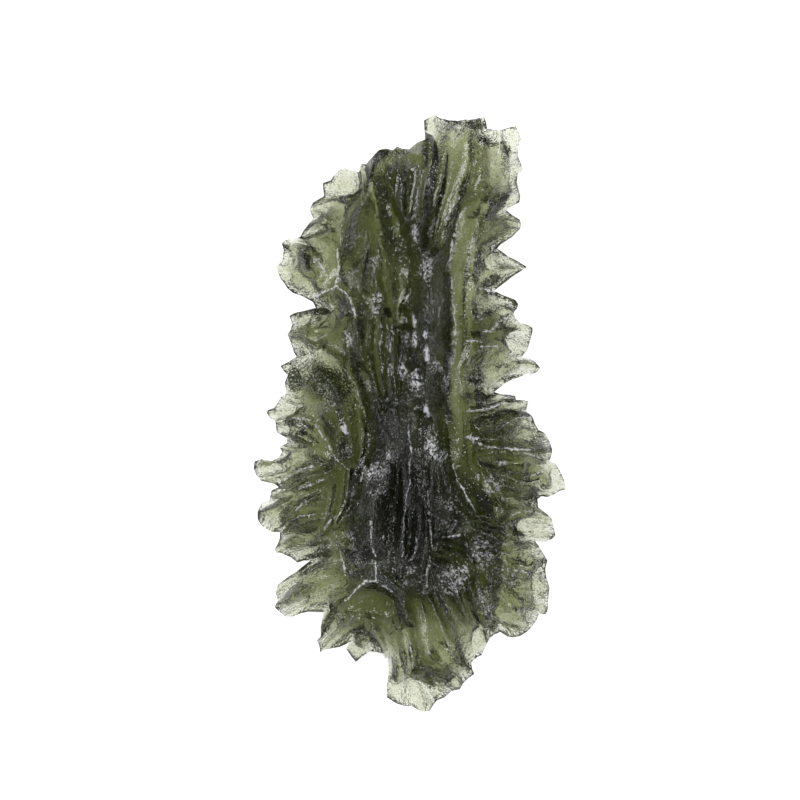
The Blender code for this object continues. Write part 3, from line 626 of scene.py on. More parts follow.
# %% [markdown]
# ## What the plain solid leaves out
#
# Three kinds of detail lie on the crests and troughs: dimples from a third of a millimetre to one and a half
# wide, with sharp borders, striations that run along the crests, and pits too fine for the mesh, which the
# glass itself gets further down. Brushes could carve them one by one. A dimple field is what is left where
# round hollows meet, so here it is cellular noise: the squared distance to the nearest of many scattered
# points. Striations are noise stretched along the crests, for which the distance to the nearest crest is
# the coordinate that changes fast.

# %% Dimples and striations
DIMPLES = ((30.0, 0.30), (12.0, 0.13), (6.5, 0.02))  # width in steps, depth in millimetres
FACE_DIMPLES = 3.7  # where in the noise the dimples of the face start
BACK_DIMPLES = 21.3
DIMPLED_FROM = 0.5  # the dimples fade out where a face stands less than about this high, in millimetres
LOST_DIMPLES = 0.85  # the share of their depth that the dimples lose in a smooth channel
STRIATION = (5.0, 30.0, 0.010)  # width and length in steps, depth in millimetres
FACE_STRIATIONS = 0.0
BACK_STRIATIONS = 300.0
STRIATED_FROM = 2.0  # the striations are full this far in from the rim, in millimetres
LOST_STRIATIONS = 0.7
NOISE_REACH = 2.0  # smooth noise seldom passes a half, so this brings it up to about 1


def dimples(points, width, depth, salt):
    """Hollows about this wide, with sharp borders, each no deeper than depth."""
    found = []
    for x, y in points:
        gaps, _ = noise.voronoi((x / width, y / width, salt))
        found.append(min(gaps[0], 1.0))
    return depth * (np.array(found) ** 2 - 1.0)


def striations(points, nearest, salt):
    """Fine ridges that run along the crests."""
    width, length, depth = STRIATION
    found = [
        noise.noise((gap / width, x / length, y / length + salt))
        for (x, y), gap in zip(points, nearest)
    ]
    return -depth * np.abs(np.array(found)) * NOISE_REACH


print("dimples of", len(DIMPLES), "sizes, the widest", round(DIMPLES[0][0] / STEPS_PER_MM, 1), "mm")

# %% [markdown]
# ## Frost, painted glints and painted shade on the skin
#
# The channels of the real stone have a clear skin. Between them, and most of all on the trunk, lie patches
# of frosted skin, where fine pits scatter the light to a lilac grey, and the same patches carry painted
# glints, pale colour where the skin catches the lamps. Painted highlights run along the crests, some of them
# as one thin bright line, and painted shade, near black, lies in the grooves, hollows and facets in shade.
# Noise alone would put all this anywhere, so each patch is an ellipse on the map and each bright crest a
# path. The mesh carries how strong they are at each point, and the glass reads it from there.

# %% Patches of frost and painted glint: middle, half sizes and turn in degrees of each, and how strong it is
FROST_AND_GLINT_PATCHES = [
    ((376, 262), (6, 13), 5, 0.8), ((374, 306), (5, 14), -8, 0.7), ((380, 298), (5, 6), 0, 0.6),
    ((426, 269), (9, 15), 5, 0.7), ((407, 297), (2, 4), 0, 0.9), ((414, 322), (3, 8), -5, 0.9),
    ((414, 341), (3, 11), -5, 0.8), ((404, 320), (4, 4), 0, 0.7), ((405, 338), (4, 8), 0, 0.5),
    ((425, 335), (3, 5), 0, 1.4), ((427, 354), (3, 10), 0, 1.5), ((402, 370), (5, 13), -10, 0.7),
    ((437, 367), (9, 7), 30, 0.7), ((416, 380), (8, 13), 0, 0.7), ((442, 298), (2, 8), 0, 0.6),
    ((440, 312), (2, 7), 0, 0.5), ((349, 340), (7, 11), -25, 0.6), ((326, 392), (12, 8), 35, 0.3),
    ((426, 411), (3, 7), 0, 1.4), ((431, 447), (8, 15), 0, 0.9), ((443, 456), (7, 7), 0, 0.7),
    ((390, 455), (4, 7), 0, 0.8), ((376, 471), (16, 11), -20, 0.65), ((378, 491), (13, 11), 0, 0.5),
    ((450, 500), (10, 14), 0, 0.35), ((411, 568), (6, 7), 0, 0.6), ((345, 428), (4, 9), -20, 1.0),
    ((352, 546), (4, 5), 0, 0.7), ((352, 570), (3, 3), 0, 0.8), ((338, 546), (4, 8), 0, 0.5),
    ((382, 535), (4, 5), 0, 0.6), ((452, 580), (16, 16), 0, 0.7), ((464, 572), (4, 12), 10, 0.8),
    ((480, 552), (15, 18), -30, 0.58), ((502, 462), (7, 4), 0, 0.6), ((492, 484), (11, 11), 40, 0.7),
    ((478, 478), (2, 10), -10, 0.6), ((505, 570), (4, 10), 0, 0.5), ((485, 600), (8, 18), -20, 0.7),
    ((424, 592), (4, 4), 0, 0.8), ((357, 617), (6, 4), 0, 0.5), ((482, 315), (9, 7), -20, 0.45),
    ((415, 235), (5, 15), 0, 0.55), ((429, 186), (2, 12), 0, 0.6), ((435, 131), (4, 13), 0, 0.6),
    ((456, 131), (12, 8), 0, 0.5), ((475, 378), (11, 12), 0, 0.4), ((428, 308), (7, 16), 0, 0.35),
    ((296, 385), (7, 8), 0, 0.3), ((478, 262), (8, 12), 0, 0.35), ((352, 238), (10, 16), 20, 0.4),
    ((300, 320), (14, 12), 0, 0.3), ((316, 266), (4, 8), -20, 0.6),
    ((403, 190), (4, 30), 0, 0.2), ((352, 168), (12, 7), -20, 0.2), ((382, 160), (14, 9), -20, 0.35),
    ((520, 614), (15, 12), 0, 0.4), ((478, 640), (10, 14), 0, 0.35), ((514, 578), (9, 12), 0, 0.55),
    ((535, 442), (12, 9), 0, 0.35), ((505, 425), (20, 8), 0, 0.3), ((285, 595), (14, 14), 0, 0.3),
    ((441, 197), (2, 2), 0, 1.2), ((415, 237), (3, 8), 0, 0.9),
]
print(len(FROST_AND_GLINT_PATCHES), "patches of frost and painted glint")

# %% Patches of painted shade, in the same terms
PAINTED_SHADE_PATCHES = [
    ((331, 385), (26, 19), 35, 0.75), ((300, 592), (24, 12), -10, 0.25), ((512, 582), (11, 14), 0, 0.5),
    ((497, 561), (10, 7), 0, 0.4), ((382, 159), (13, 8), -20, 0.3), ((292, 515), (16, 12), 0, 0.2),
    ((295, 380), (9, 14), 0, 0.8), ((344, 278), (4, 11), -25, 0.8), ((356, 368), (5, 26), -15, 0.7),
    ((361, 325), (4, 22), -5, 0.7), ((306, 262), (6, 12), -15, 0.7), ((491, 281), (12, 5), -32, 0.9),
    ((487, 313), (6, 5), 0, 0.7), ((476, 335), (9, 4), -10, 0.8), ((503, 366), (8, 3), 0, 0.7),
    ((512, 378), (13, 3), -10, 0.8), ((515, 306), (3, 7), 0, 0.6), ((474, 378), (11, 11), 0, 0.5),
    ((446, 330), (5, 70), -2, 0.8), ((447, 225), (4, 22), 25, 0.6), ((425, 234), (4, 26), 8, 0.8),
    ((438, 390), (9, 26), 0, 0.7), ((404, 190), (5, 40), 0, 0.5), ((408, 510), (40, 75), 0, 0.55),
    ((388, 313), (5, 5), 0, 1.0), ((435, 345), (4, 7), 0, 0.9), ((384, 415), (12, 30), 0, 0.6),
    ((418, 300), (6, 30), 0, 0.4), ((344, 450), (9, 12), 0, 0.6), ((355, 545), (14, 22), 0, 0.5),
    ((366, 545), (8, 22), 0, 0.6), ((500, 585), (8, 18), -10, 0.2), ((484, 604), (13, 13), 0, 0.2),
    ((446, 585), (12, 14), 0, 0.2), ((460, 552), (10, 7), 0, 0.3), ((491, 500), (13, 6), 35, 0.6),
    ((470, 395), (10, 5), -10, 0.5), ((352, 235), (8, 18), 20, 0.4), ((340, 305), (14, 7), 25, 0.3),
    ((310, 500), (18, 6), -15, 0.4), ((296, 440), (8, 5), 0, 0.4),
    ((310, 560), (8, 3), -20, 0.5), ((452, 655), (4, 14), -20, 0.3), ((300, 585), (6, 6), 0, 0.3),
    ((525, 545), (14, 4), 10, 0.4), ((535, 500), (8, 4), 30, 0.4), ((495, 235), (10, 4), -20, 0.3),
    ((475, 125), (12, 6), 0, 0.8), ((443, 125), (3, 8), 0, 0.3), ((341, 200), (14, 3), 0, 0.3),
    ((455, 123), (9, 3), 0, 0.6), ((440, 162), (8, 34), 4, 0.35), ((471, 148), (3, 20), 0, 0.8),
    ((464, 188), (4, 18), 18, 0.8), ((456, 212), (5, 10), 30, 0.8), ((480, 165), (8, 26), 5, 0.25),
    ((395, 153), (24, 5), -8, 0.5), ((505, 165), (4, 18), 0, 0.4),
    ((490, 417), (24, 9), -10, 0.5), ((496, 433), (26, 8), -10, 0.5), ((520, 445), (18, 4), 0, 0.4),
    ((500, 468), (20, 8), 10, 0.45), ((537, 443), (12, 10), 0, 0.6), ((516, 400), (12, 4), 0, 0.5),
    ((300, 425), (18, 4), 5, 0.4), ((320, 460), (12, 5), 20, 0.5),
]
print(len(PAINTED_SHADE_PATCHES), "patches of painted shade")

# %% Crests painted as thin bright highlights: how strong each is, and its path
GLINTS = [
    (1.0, [(459, 198), (452, 208), (446, 218), (444, 228), (442, 240)]),
    (1.0, [(469, 207), (463, 212), (458, 220), (455, 230), (452, 240), (451, 260)]),
    (0.8, [(451, 260), (451, 290), (455, 312), (455, 335)]),
    (1.3, [(338, 250), (338, 270), (335, 288), (330, 290), (322, 293), (314, 297)]),
    (1.3, [(337, 288), (345, 293), (350, 300), (353, 308), (355, 318)]),
    (0.8, [(310, 350), (322, 350), (332, 355), (341, 363), (347, 372), (353, 382), (357, 392), (360, 404)]),
    (0.9, [(392, 325), (391, 345), (392, 375)]),
    (0.9, [(408, 425), (411, 450), (409, 480), (405, 510), (402, 555)]),
    (0.9, [(427, 488), (430, 530), (432, 545)]),
    (1.1, [(452, 465), (457, 480), (467, 497), (476, 510)]),
    (1.0, [(365, 465), (360, 480)]),
    (0.9, [(371, 520), (371, 545), (377, 555)]),
    (1.1, [(345, 600), (365, 580), (375, 579), (392, 590)]),
    (1.0, [(376, 560), (376, 578)]),
    (0.9, [(430, 555), (427, 570), (426, 585)]),
    (1.1, [(443, 536), (460, 534)]),
    (0.9, [(417, 535), (415, 550), (410, 560)]),
    (1.1, [(340, 550), (346, 575)]),
    (1.0, [(295, 417), (310, 421), (320, 430), (328, 443), (333, 455), (338, 462), (350, 470)]),
    (1.1, [(295, 510), (307, 501)]),
    (1.1, [(325, 528), (337, 515)]),
    (1.2, [(467, 411), (485, 409), (507, 403)]),
    (1.3, [(472, 434), (466, 438), (478, 438)]),
    (1.2, [(472, 442), (485, 446), (510, 449), (530, 449)]),
    (1.1, [(525, 453), (542, 458)]),
    (1.0, [(466, 342), (480, 342)]),
    (1.0, [(478, 346), (497, 346)]),
    (1.0, [(483, 333), (492, 332), (500, 322), (505, 318)]),
    (1.2, [(478, 288), (494, 292)]),
    (0.8, [(427, 595), (435, 610), (450, 650)]),
    (1.0, [(314, 258), (319, 260), (326, 275)]),
    (0.9, [(500, 395), (515, 397)]),
    (0.9, [(505, 424), (520, 417), (530, 417)]),
    (0.9, [(527, 477), (546, 471)]),
    (0.9, [(510, 515), (525, 511), (540, 515)]),
    (0.9, [(300, 489), (312, 484), (325, 478)]),
    (0.9, [(285, 476), (300, 470), (314, 466)]),
    (0.8, [(410, 640), (415, 680)]),
    (0.8, [(495, 567), (512, 570), (526, 572), (531, 582)]),
    (0.8, [(500, 620), (515, 622), (532, 627)]),
]
GLINT_PATHS = [path for _, path in GLINTS]
GLINT_WIDTH = 0.7  # half width in steps
print(len(GLINTS), "crests painted bright")

# %% How much frost, painted glint and highlight, and painted shade each point has
# painted highlight along any other crest: its half width in steps, and how strong its runs are
CREST_HIGHLIGHT = (0.9, 0.5)  # half width of any other crest, and how frosted its worn runs are
CREST_HIGHLIGHT_GRAIN = 9.0  # length of the worn runs of a crest, in steps
CREST_HIGHLIGHT_SALT = 71.0
CREST_HIGHLIGHT_CONTRAST = 2.5


def patches(points, table):
    """How strongly each point of the map lies in any patch of a table."""
    total = np.zeros(len(points))
    for middle, half_sizes, turn, strength in table:
        across, along = turned(points, middle, half_sizes, turn)
        total = np.maximum(total, strength * np.exp(-((across**2 + along**2) ** 2)))
    return total


def frost_and_glint(points, nearest, smooth, painted_shade):
    """How much frost, painted glint and painted crest highlight the face has at each point of the map."""
    width, highlight_strength = CREST_HIGHLIGHT
    runs = np.clip(noise_at(points, CREST_HIGHLIGHT_GRAIN, CREST_HIGHLIGHT_SALT) * CREST_HIGHLIGHT_CONTRAST, 0.0, 1.0)
    bare = (1.0 - smooth) * (1.0 - np.minimum(painted_shade, 1.0))
    found = np.maximum(patches(points, FROST_AND_GLINT_PATCHES), highlight_strength * runs * bare * np.exp(-((nearest / width) ** 2)))
    for bright, path in GLINTS:
        found = np.maximum(found, bright * np.exp(-((distance_to_path(points, path) / GLINT_WIDTH) ** 2)))
    return found


# %% [markdown]
# ## Both sides together
#
# The face is the crests and troughs, cut by the scoops and channels and then dimpled. The back has the same
# fins, but fewer ribs and no channels. The two could be modelled apart and joined along the rim. Measuring
# both from one middle surface, which the fins lift and lower, lets them meet at the rim by themselves. The
# face is kept under the top of the plain solid's box.

# %% Heights of the face and the back
def face_height(points, bent, inset):
    """The face over the middle surface in mm, how smooth its skin is, and how far the nearest crest is."""
    to_axis = distance_to_path(bent, TRUNK_AXIS) / STEPS_PER_MM
    climb = FACE_RISE * (1.0 - np.exp(-inset / FACE_REACH))
    trunk = TRUNK_RISE * np.exp(-((to_axis / TRUNK_REACH) ** 2)) * (1.0 - np.exp(-inset))
    face, nearest = troughs(bent, FINS + RIBS, climb + trunk, FACE_TROUGH)
    channels, smooth = channel_floor(bent)
    face = np.minimum(face, np.minimum(scoop_floor(bent), channels))
    for turn, (width, depth) in enumerate(DIMPLES):
        thick = 1.0 - np.exp(-face / DIMPLED_FROM)
        face += dimples(points, width, depth, FACE_DIMPLES + turn) * thick * (1.0 - LOST_DIMPLES * smooth)
    inner = np.minimum(inset / STRIATED_FROM, 1.0)
    face += striations(points, nearest, FACE_STRIATIONS) * inner * (1.0 - LOST_STRIATIONS * smooth)
    return face, smooth, nearest


def back_height(points, bent, inset):
    """How far the back reaches below the middle surface, in millimetres."""
    deep = BACK_DEPTH * (1.0 - np.exp(-inset / BACK_REACH))
    crests = [crest[:BACK_POINTS] for crest in FINS] + BACK_RIBS
    back, nearest = troughs(bent, crests, deep, BACK_TROUGH)
    back = np.minimum(back, scoop_floor(bent))
    for turn, (width, depth) in enumerate(DIMPLES):
        back += dimples(points, width, depth, BACK_DIMPLES + turn) * (1.0 - np.exp(-back / DIMPLED_FROM))
    return back + striations(points, nearest, BACK_STRIATIONS) * np.minimum(inset / STRIATED_FROM, 1.0)


def heights(points):
    """Top and bottom of the glass over each point, in mm, how smooth the face is, its frost and painted
    glints, and its painted shade.
    """
    bent = bend(points)
    inset = distance_to_path(points, RIM_LOOP) / STEPS_PER_MM
    face, smooth, nearest = face_height(points, bent, inset)
    back = back_height(points, bent, inset)
    middle = REST_TO_MIDDLE + fin_lifts(bent) * np.exp(-inset / LIFT_REACH)
    inland = inset > TINY
    top = middle + EDGE / 2 + np.where(inland, np.maximum(face, 0.0), 0.0)
    bottom = middle - EDGE / 2 - np.where(inland, np.maximum(back, 0.0), 0.0)
    top = np.minimum(top, CAD_BOX[1][2] / MM)
    bottom = np.maximum(worn_feet(bent, bottom), 0.0)
    # painted shade over each point, near black in the grooves, hollows and facets that lie in shade
    painted_shade = patches(bent, PAINTED_SHADE_PATCHES)
    return top, bottom, smooth, frost_and_glint(bent, nearest, smooth, painted_shade), painted_shade


# %% [markdown]
# ## The net of points
#
# A square grid would saw every slanted crest into steps. So the map is filled with triangles whose edges
# follow the rim and every crest, and an even field of points fills the rest. Blender's own triangulation
# takes both the points and the edges that have to stay.

# %% Spreading the net
CREST_GRAIN = 2.0  # spacing along crests and rim, in steps
FIELD_GRAIN = 2.05
CLEARANCE = 1.25  # a field point stays this far from every line
KEPT_LINES = FINS + RIBS + GLINT_PATHS


def evenly(path, spacing):
    """Points along a path of straight runs, about one spacing apart."""
    made = [path[0]]
    for start, end in zip(path, path[1:]):
        count = max(1, round(math.dist(start, end) / spacing))
        for i in range(1, count + 1):
            share = i / count
            made.append((start[0] + (end[0] - start[0]) * share, start[1] + (end[1] - start[1]) * share))
    return made


def field_of_points():
    """An even field of points inside the rim, clear of every line."""
    row_height = FIELD_GRAIN * math.sqrt(3) / 2
    columns = int((RIGHT - LEFT) / FIELD_GRAIN) + 1
    rows = int((LOWER - UPPER) / row_height) + 1
    row, column = np.divmod(np.arange(rows * columns), columns)
    field = np.column_stack((LEFT + (column + 0.5 * (row % 2)) * FIELD_GRAIN, UPPER + row * row_height))
    field = field[inside_rim(field)]
    bent = bend(field)
    gaps = np.array([distance_to_path(bent, line) for line in KEPT_LINES]).min(axis=0)
    gaps = np.minimum(gaps, distance_to_path(field, RIM_LOOP))
    return field[gaps > CLEARANCE]


def spread_net():
    """Points and kept edges of the whole map."""
    rim = evenly(RIM_LOOP, CREST_GRAIN)[:-1]
    points = list(rim)
    edges = [(i, (i + 1) % len(rim)) for i in range(len(rim))]
    for path in KEPT_LINES:
        line = unbend(np.array(evenly(path, CREST_GRAIN)))
        line = line[inside_rim(line)]
        first = len(points)
        points.extend(map(tuple, line))
        edges.extend((first + i, first + i + 1) for i in range(len(line) - 1))
    return [Vector(point) for point in points] + [Vector(point) for point in field_of_points()], edges


# %% [markdown]
# ## Raising the stone
#
# The net becomes a flat plate, and an extrusion gives it a second side and a closed edge. Then every point of
# the lower and the upper side goes to its own height. The face's points also keep how smooth they are, how
# much frost and painted glint they carry, and how much painted shade. Two heightfields stitched together
# would give the same form with more bookkeeping.

# %% Raising the stone
INSIDE_FACES = 1  # the triangulation keeps the triangles inside the rim
SAME_POINT = 1e-4  # and takes points this close, in steps, as one
SKINS = ("smooth", "frost_and_glint", "painted_shade")


def to_metres(x, y, height_mm):
    """A place on the map and a height over the floor, as a place in the scene."""
    return Vector(((x - (LEFT + RIGHT) / 2) * STEP, ((UPPER + LOWER) / 2 - y) * STEP, height_mm * MM))


def lay_plate():
    """The net as a flat plate of triangles, still in steps."""
    net, kept = spread_net()
    spots, _, faces, _, _, _ = delaunay_2d_cdt(net, kept, [], INSIDE_FACES, SAME_POINT)
    plate = bmesh.new()
    for name in SKINS:
        plate.verts.layers.float.new(name)
    corners = [plate.verts.new((spot.x, spot.y, 0.0)) for spot in spots]
    for face in faces:
        plate.faces.new([corners[i] for i in face])
    loose = [corner for corner in corners if not corner.link_faces]
    bmesh.ops.delete(plate, geom=loose, context="VERTS")
    return plate


def raise_stone():
    """The fine stone: the plate, extruded, with its own heights on both sides."""
    plate = lay_plate()
    lower = list(plate.verts)
    raised = bmesh.ops.extrude_face_region(plate, geom=plate.faces[:])
    upper = [item for item in raised["geom"] if isinstance(item, bmesh.types.BMVert)]
    layers = [plate.verts.layers.float[name] for name in SKINS]
    for corners, is_top in ((lower, False), (upper, True)):
        places = np.array([(corner.co.x, corner.co.y) for corner in corners])
        top, bottom, *skins = heights(places)
        for corner, height, *skin in zip(corners, top if is_top else bottom, *skins):
            corner.co = to_metres(corner.co.x, corner.co.y, height)
            for layer, share in zip(layers, skin if is_top else ()):
                corner[layer] = share
    bmesh.ops.recalc_face_normals(plate, faces=plate.faces[:])
    data = bpy.data.meshes.new("moldavite_glass")
    plate.to_mesh(data)
    plate.free()
    data.shade_smooth()
    stone = bpy.data.objects.new("moldavite_glass", data)
    bpy.context.scene.collection.objects.link(stone)
    return stone


stone = raise_stone()
print("triangles:", sum(len(face.vertices) - 2 for face in stone.data.polygons))
print("height:", round(max(corner.co.z for corner in stone.data.vertices) / MM, 2), "mm")

# %% [markdown]
# ## Nodes by short names
#
# The glass needs some dozens of maths, range, mix and texture nodes. They could be placed one by one in the
# editor. A few small functions make each of them one readable line instead.

# %% Linking nodes
def link_inputs(tree, slots, values):
    """Each socket gets its constant, or is linked to the socket that gives its value."""
    for slot, value in zip(slots, values):
        if isinstance(value, bpy.types.NodeSocket):
            tree.links.new(value, slot)
        else:
            slot.default_value = value


def link_math(tree, kind, *values):
    """The output of a maths node over sockets and numbers."""
    node = tree.nodes.new("ShaderNodeMath")
    node.operation = kind
    link_inputs(tree, node.inputs, values)
    return node.outputs["Value"]


def link_range(tree, value, low, high, first, last):
    """A clamped map of value from low..high to first..last."""
    node = tree.nodes.new("ShaderNodeMapRange")
    names = ("Value", "From Min", "From Max", "To Min", "To Max")
    link_inputs(tree, [node.inputs[name] for name in names], (value, low, high, first, last))
    return node.outputs["Result"]


def link_mix(tree, factor, first, second):
    """A mix of two colours, each a colour or a socket."""
    node = tree.nodes.new("ShaderNodeMix")
    node.data_type = "RGBA"
    colours = [slot for slot in node.inputs if slot.type == "RGBA"]
    link_inputs(tree, [node.inputs["Factor"], *colours], (factor, first, second))
    return next(slot for slot in node.outputs if slot.type == "RGBA")


def link_texture(tree, kind, coords, scale):
    """A noise or cell texture node with so many features to the metre."""
    node = tree.nodes.new(kind)
    link_inputs(tree, (node.inputs["Scale"], node.inputs["Vector"]), (scale, coords))
    return node


def link_channel(tree, colour, name):
    """One channel of a colour."""
    node = tree.nodes.new("ShaderNodeSeparateColor")
    tree.links.new(colour, node.inputs["Color"])
    return node.outputs[name]


# %% [markdown]
# ## The glass
#
# The glass is the same bottle green all through. Thin flakes are pale and the trunk nearly black because
# light is swallowed on its way through, and painted shade on the skin, further down, darkens much of the
# trunk more. A painted skin could copy those tones from one side only, so the colour is a volume absorption,
# and the skin is clear glass with a refractive index of 1.49.

# %% Pouring the clear glass
GLASS_TINT = (0.357, 0.393, 0.09)
GLASS_DENSITY = 1700.0  # per metre
GLASS_IOR = 1.49


def pour_glass():
    """The clear green glass, with nothing on its skin yet."""
    glass = bpy.data.materials.new("moldavite_glass")
    glass.use_nodes = True
    tree = glass.node_tree
    tree.nodes["Principled BSDF"].inputs["IOR"].default_value = GLASS_IOR
    body = tree.nodes.new("ShaderNodeVolumeAbsorption")
    body.inputs["Color"].default_value = (*GLASS_TINT, 1.0)
    body.inputs["Density"].default_value = GLASS_DENSITY
    tree.links.new(body.outputs["Volume"], tree.nodes["Material Output"].inputs["Volume"])
    return glass


def read_skins(tree):
    """Sockets with how smooth the skin is, its frost and painted glints, and its painted shade, as the mesh
    says.
    """
    read = []
    for name in SKINS:
        node = tree.nodes.new("ShaderNodeAttribute")
        node.attribute_name = name
        read.append(node.outputs["Fac"])
    return read


# %% [markdown]
# ## Frost and painted glints on the skin
#
# Frosted glass has fine pits that scatter light. Real frosting is grainy: some grains are white and others
# still clear. So a patch is made of cells with random values, and the stronger the frost, the more cells pass
# a threshold. Single frosted dots lie everywhere, and more of them where there is frost. The painted glints
# and the painted crest highlights go through the same grains, as pale colour like the frost.

# %% Frosting
GRAINS_PER_METRE = 9500.0
# A grain starts to turn white where frost and painted glint plus its own value reaches the first of these,
# and is white at the second
GRAIN_TURNS = (1.1, 1.7)
DOTS_PER_METRE = 9500.0
DOT_EDGE = (0.12, 0.34)  # a dot is full up to the first radius and gone at the second, in cells
DOT_SHARE = 0.15  # this share of the cells has a frosted dot, away from the frosted patches
# what full frost and painted glint add to that share
DOTS_BY_FROST_AND_GLINT = 0.5  # what full frost adds to that share
# what full painted shade takes from that share
DOTS_BY_PAINTED_SHADE = 0.06  # what full grime takes from it
DOT_STRENGTH = 0.9


def frost_and_glint_skin(tree, coords, frost_and_glint, painted_shade):
    """How frosted and painted with glints the skin is, grain by grain."""
    grains = link_texture(tree, "ShaderNodeTexVoronoi", coords, GRAINS_PER_METRE)
    grain = link_channel(tree, grains.outputs["Color"], "Green")
    patched = link_range(tree, link_math(tree, "ADD", frost_and_glint, grain), *GRAIN_TURNS, 0.0, 1.0)
    cells = link_texture(tree, "ShaderNodeTexVoronoi", coords, DOTS_PER_METRE)
    dot = link_range(tree, cells.outputs["Distance"], *DOT_EDGE, 1.0, 0.0)
    share = link_math(tree, "ADD", link_math(tree, "MULTIPLY", frost_and_glint, DOTS_BY_FROST_AND_GLINT), DOT_SHARE)
    share = link_math(tree, "SUBTRACT", share, link_math(tree, "MULTIPLY", painted_shade, DOTS_BY_PAINTED_SHADE))
    picked = link_math(tree, "LESS_THAN", link_channel(tree, cells.outputs["Color"], "Red"), share)
    dots = link_math(tree, "MULTIPLY", link_math(tree, "MULTIPLY", dot, picked), DOT_STRENGTH)
    return link_math(tree, "MAXIMUM", patched, dots)


# %% [markdown]
# ## Dirt and painted shade on the skin
#
# Fine dirt sits in the pits all over the stone. Painted shade, near black, darkens the grooves, hollows and
# facets that lie in shade. One noise makes both, because the painted shade only lowers the level above which
# the noise counts as dirt.

# %% Dirt
DIRT_PER_METRE = 11000.0
# what full painted shade adds to the dirt noise
DIRT_BY_PAINTED_SHADE = 0.22  # what full grime adds to the noise
DIRT_EDGE = (0.53, 0.68)  # the noise starts to be dirt at the first and is full dirt at the second
CHANNEL_DIRT = 0.7  # the share of the dirt that stays on a smooth channel


def dirt_and_shade_skin(tree, coords, smooth, painted_shade):
    """How dirty the skin is, with the painted shade added to the dirt."""
    noise_value = link_texture(tree, "ShaderNodeTexNoise", coords, DIRT_PER_METRE).outputs["Fac"]
    noise_value = link_math(tree, "ADD", noise_value, link_math(tree, "MULTIPLY", painted_shade, DIRT_BY_PAINTED_SHADE))
    kept = link_range(tree, smooth, 0.0, 1.0, 1.0, CHANNEL_DIRT)
    return link_math(tree, "MULTIPLY", link_range(tree, noise_value, *DIRT_EDGE, 0.0, 1.0), kept)


# %% [markdown]
# ## Frost, dirt, painted glints, painted shade and pits over the glass
#
# Frost with its painted glints, and dirt with the painted shade, let less light through and have colours of
# their own, so they change the transmission and the base colour of the clear glass. A half dirty skin that
# only lost transmission would look like a grey veil, so the colour goes dark faster than the transmission is
# lost.
# The pits are a bump, because at a tenth or two of a millimetre they are too fine for the mesh.

# %% Finishing the skin
# transmission weight where frost and painted glint are full
FROST_AND_GLINT_TRANSMISSION = 0.25  # transmission weight where the frost is full
# where the painted shade is full, this share of the same loss of transmission
BLIND_BY_PAINTED_SHADE = 0.6  # the share of the same loss where grime is full
BARE_GLASS = (1.0, 1.0, 1.0, 1.0)
# pale lilac grey of the frost and of the painted glints and highlights
FROST_AND_GLINT_COLOUR = (0.8, 0.8, 0.86, 1.0)
DIRT_COLOUR = (0.38, 0.39, 0.33, 1.0)
# near black of the painted shade
PAINTED_SHADE_COLOUR = (0.021, 0.025, 0.014, 1.0)
# the dirt takes the near black of the painted shade from this much painted shade on
BLACK_FROM = 0.5  # the dirt has the colour of grime from here on
# from this much painted shade on the dirt is darkest and the shine dullest; the next is how much faster it
# darkens
FULL_PAINTED_SHADE_FROM = 0.6  # and it is fully dense and dull from here on
DARKER_IN_PAINTED_SHADE = 4.0  # how much faster dense dirt darkens the colour
# the share of the dirt that shows on full frost and painted glint
DIRT_ON_FROST_AND_GLINT = 0.1  # the share of the dirt that shows on full frost
CLEAN_SHINE = 0.5  # specular level of clean glass
# specular level under full painted shade
PAINTED_SHADE_SHINE = 0.2
SKIN_ROUGHNESS = 0.2
CHANNEL_ROUGHNESS = 0.14
PITS_PER_METRE = 6000.0
PIT_DEPTH = 0.00008  # metres
CHANNEL_PITS = 0.4  # strength of the pits on a smooth channel, where 1 is that of the rest


def colour_skin(tree, skin, frosted_and_glinting, dirt_and_shade, painted_shade):
    """Transmission, base colour and shine under the frost, the painted glints, the dirt and the painted
    shade.
    """
    blind = link_math(tree, "MULTIPLY", link_math(tree, "MULTIPLY", dirt_and_shade, painted_shade), BLIND_BY_PAINTED_SHADE)
    blind = link_math(tree, "MAXIMUM", frosted_and_glinting, blind)
    tree.links.new(link_range(tree, blind, 0.0, 1.0, 1.0, FROST_AND_GLINT_TRANSMISSION), skin.inputs["Transmission Weight"])
    clean = link_mix(tree, frosted_and_glinting, BARE_GLASS, FROST_AND_GLINT_COLOUR)
    # dirt colour, turning to the near black of the painted shade
    dirt_and_shade_colour = link_mix(tree, link_range(tree, painted_shade, 0.0, BLACK_FROM, 0.0, 1.0), DIRT_COLOUR, PAINTED_SHADE_COLOUR)
    dirt_and_shade_depth = link_math(tree, "MULTIPLY", dirt_and_shade, link_range(tree, painted_shade, 0.0, FULL_PAINTED_SHADE_FROM, 1.0, DARKER_IN_PAINTED_SHADE))
    dirt_and_shade_depth = link_math(tree, "MINIMUM", dirt_and_shade_depth, 1.0)
    shown = link_math(tree, "MULTIPLY", dirt_and_shade_depth, link_range(tree, frosted_and_glinting, 0.0, 1.0, 1.0, DIRT_ON_FROST_AND_GLINT))
    tree.links.new(link_mix(tree, shown, clean, dirt_and_shade_colour), skin.inputs["Base Color"])
    shine = link_range(tree, painted_shade, 0.0, FULL_PAINTED_SHADE_FROM, CLEAN_SHINE, PAINTED_SHADE_SHINE)
    tree.links.new(shine, skin.inputs["Specular IOR Level"])


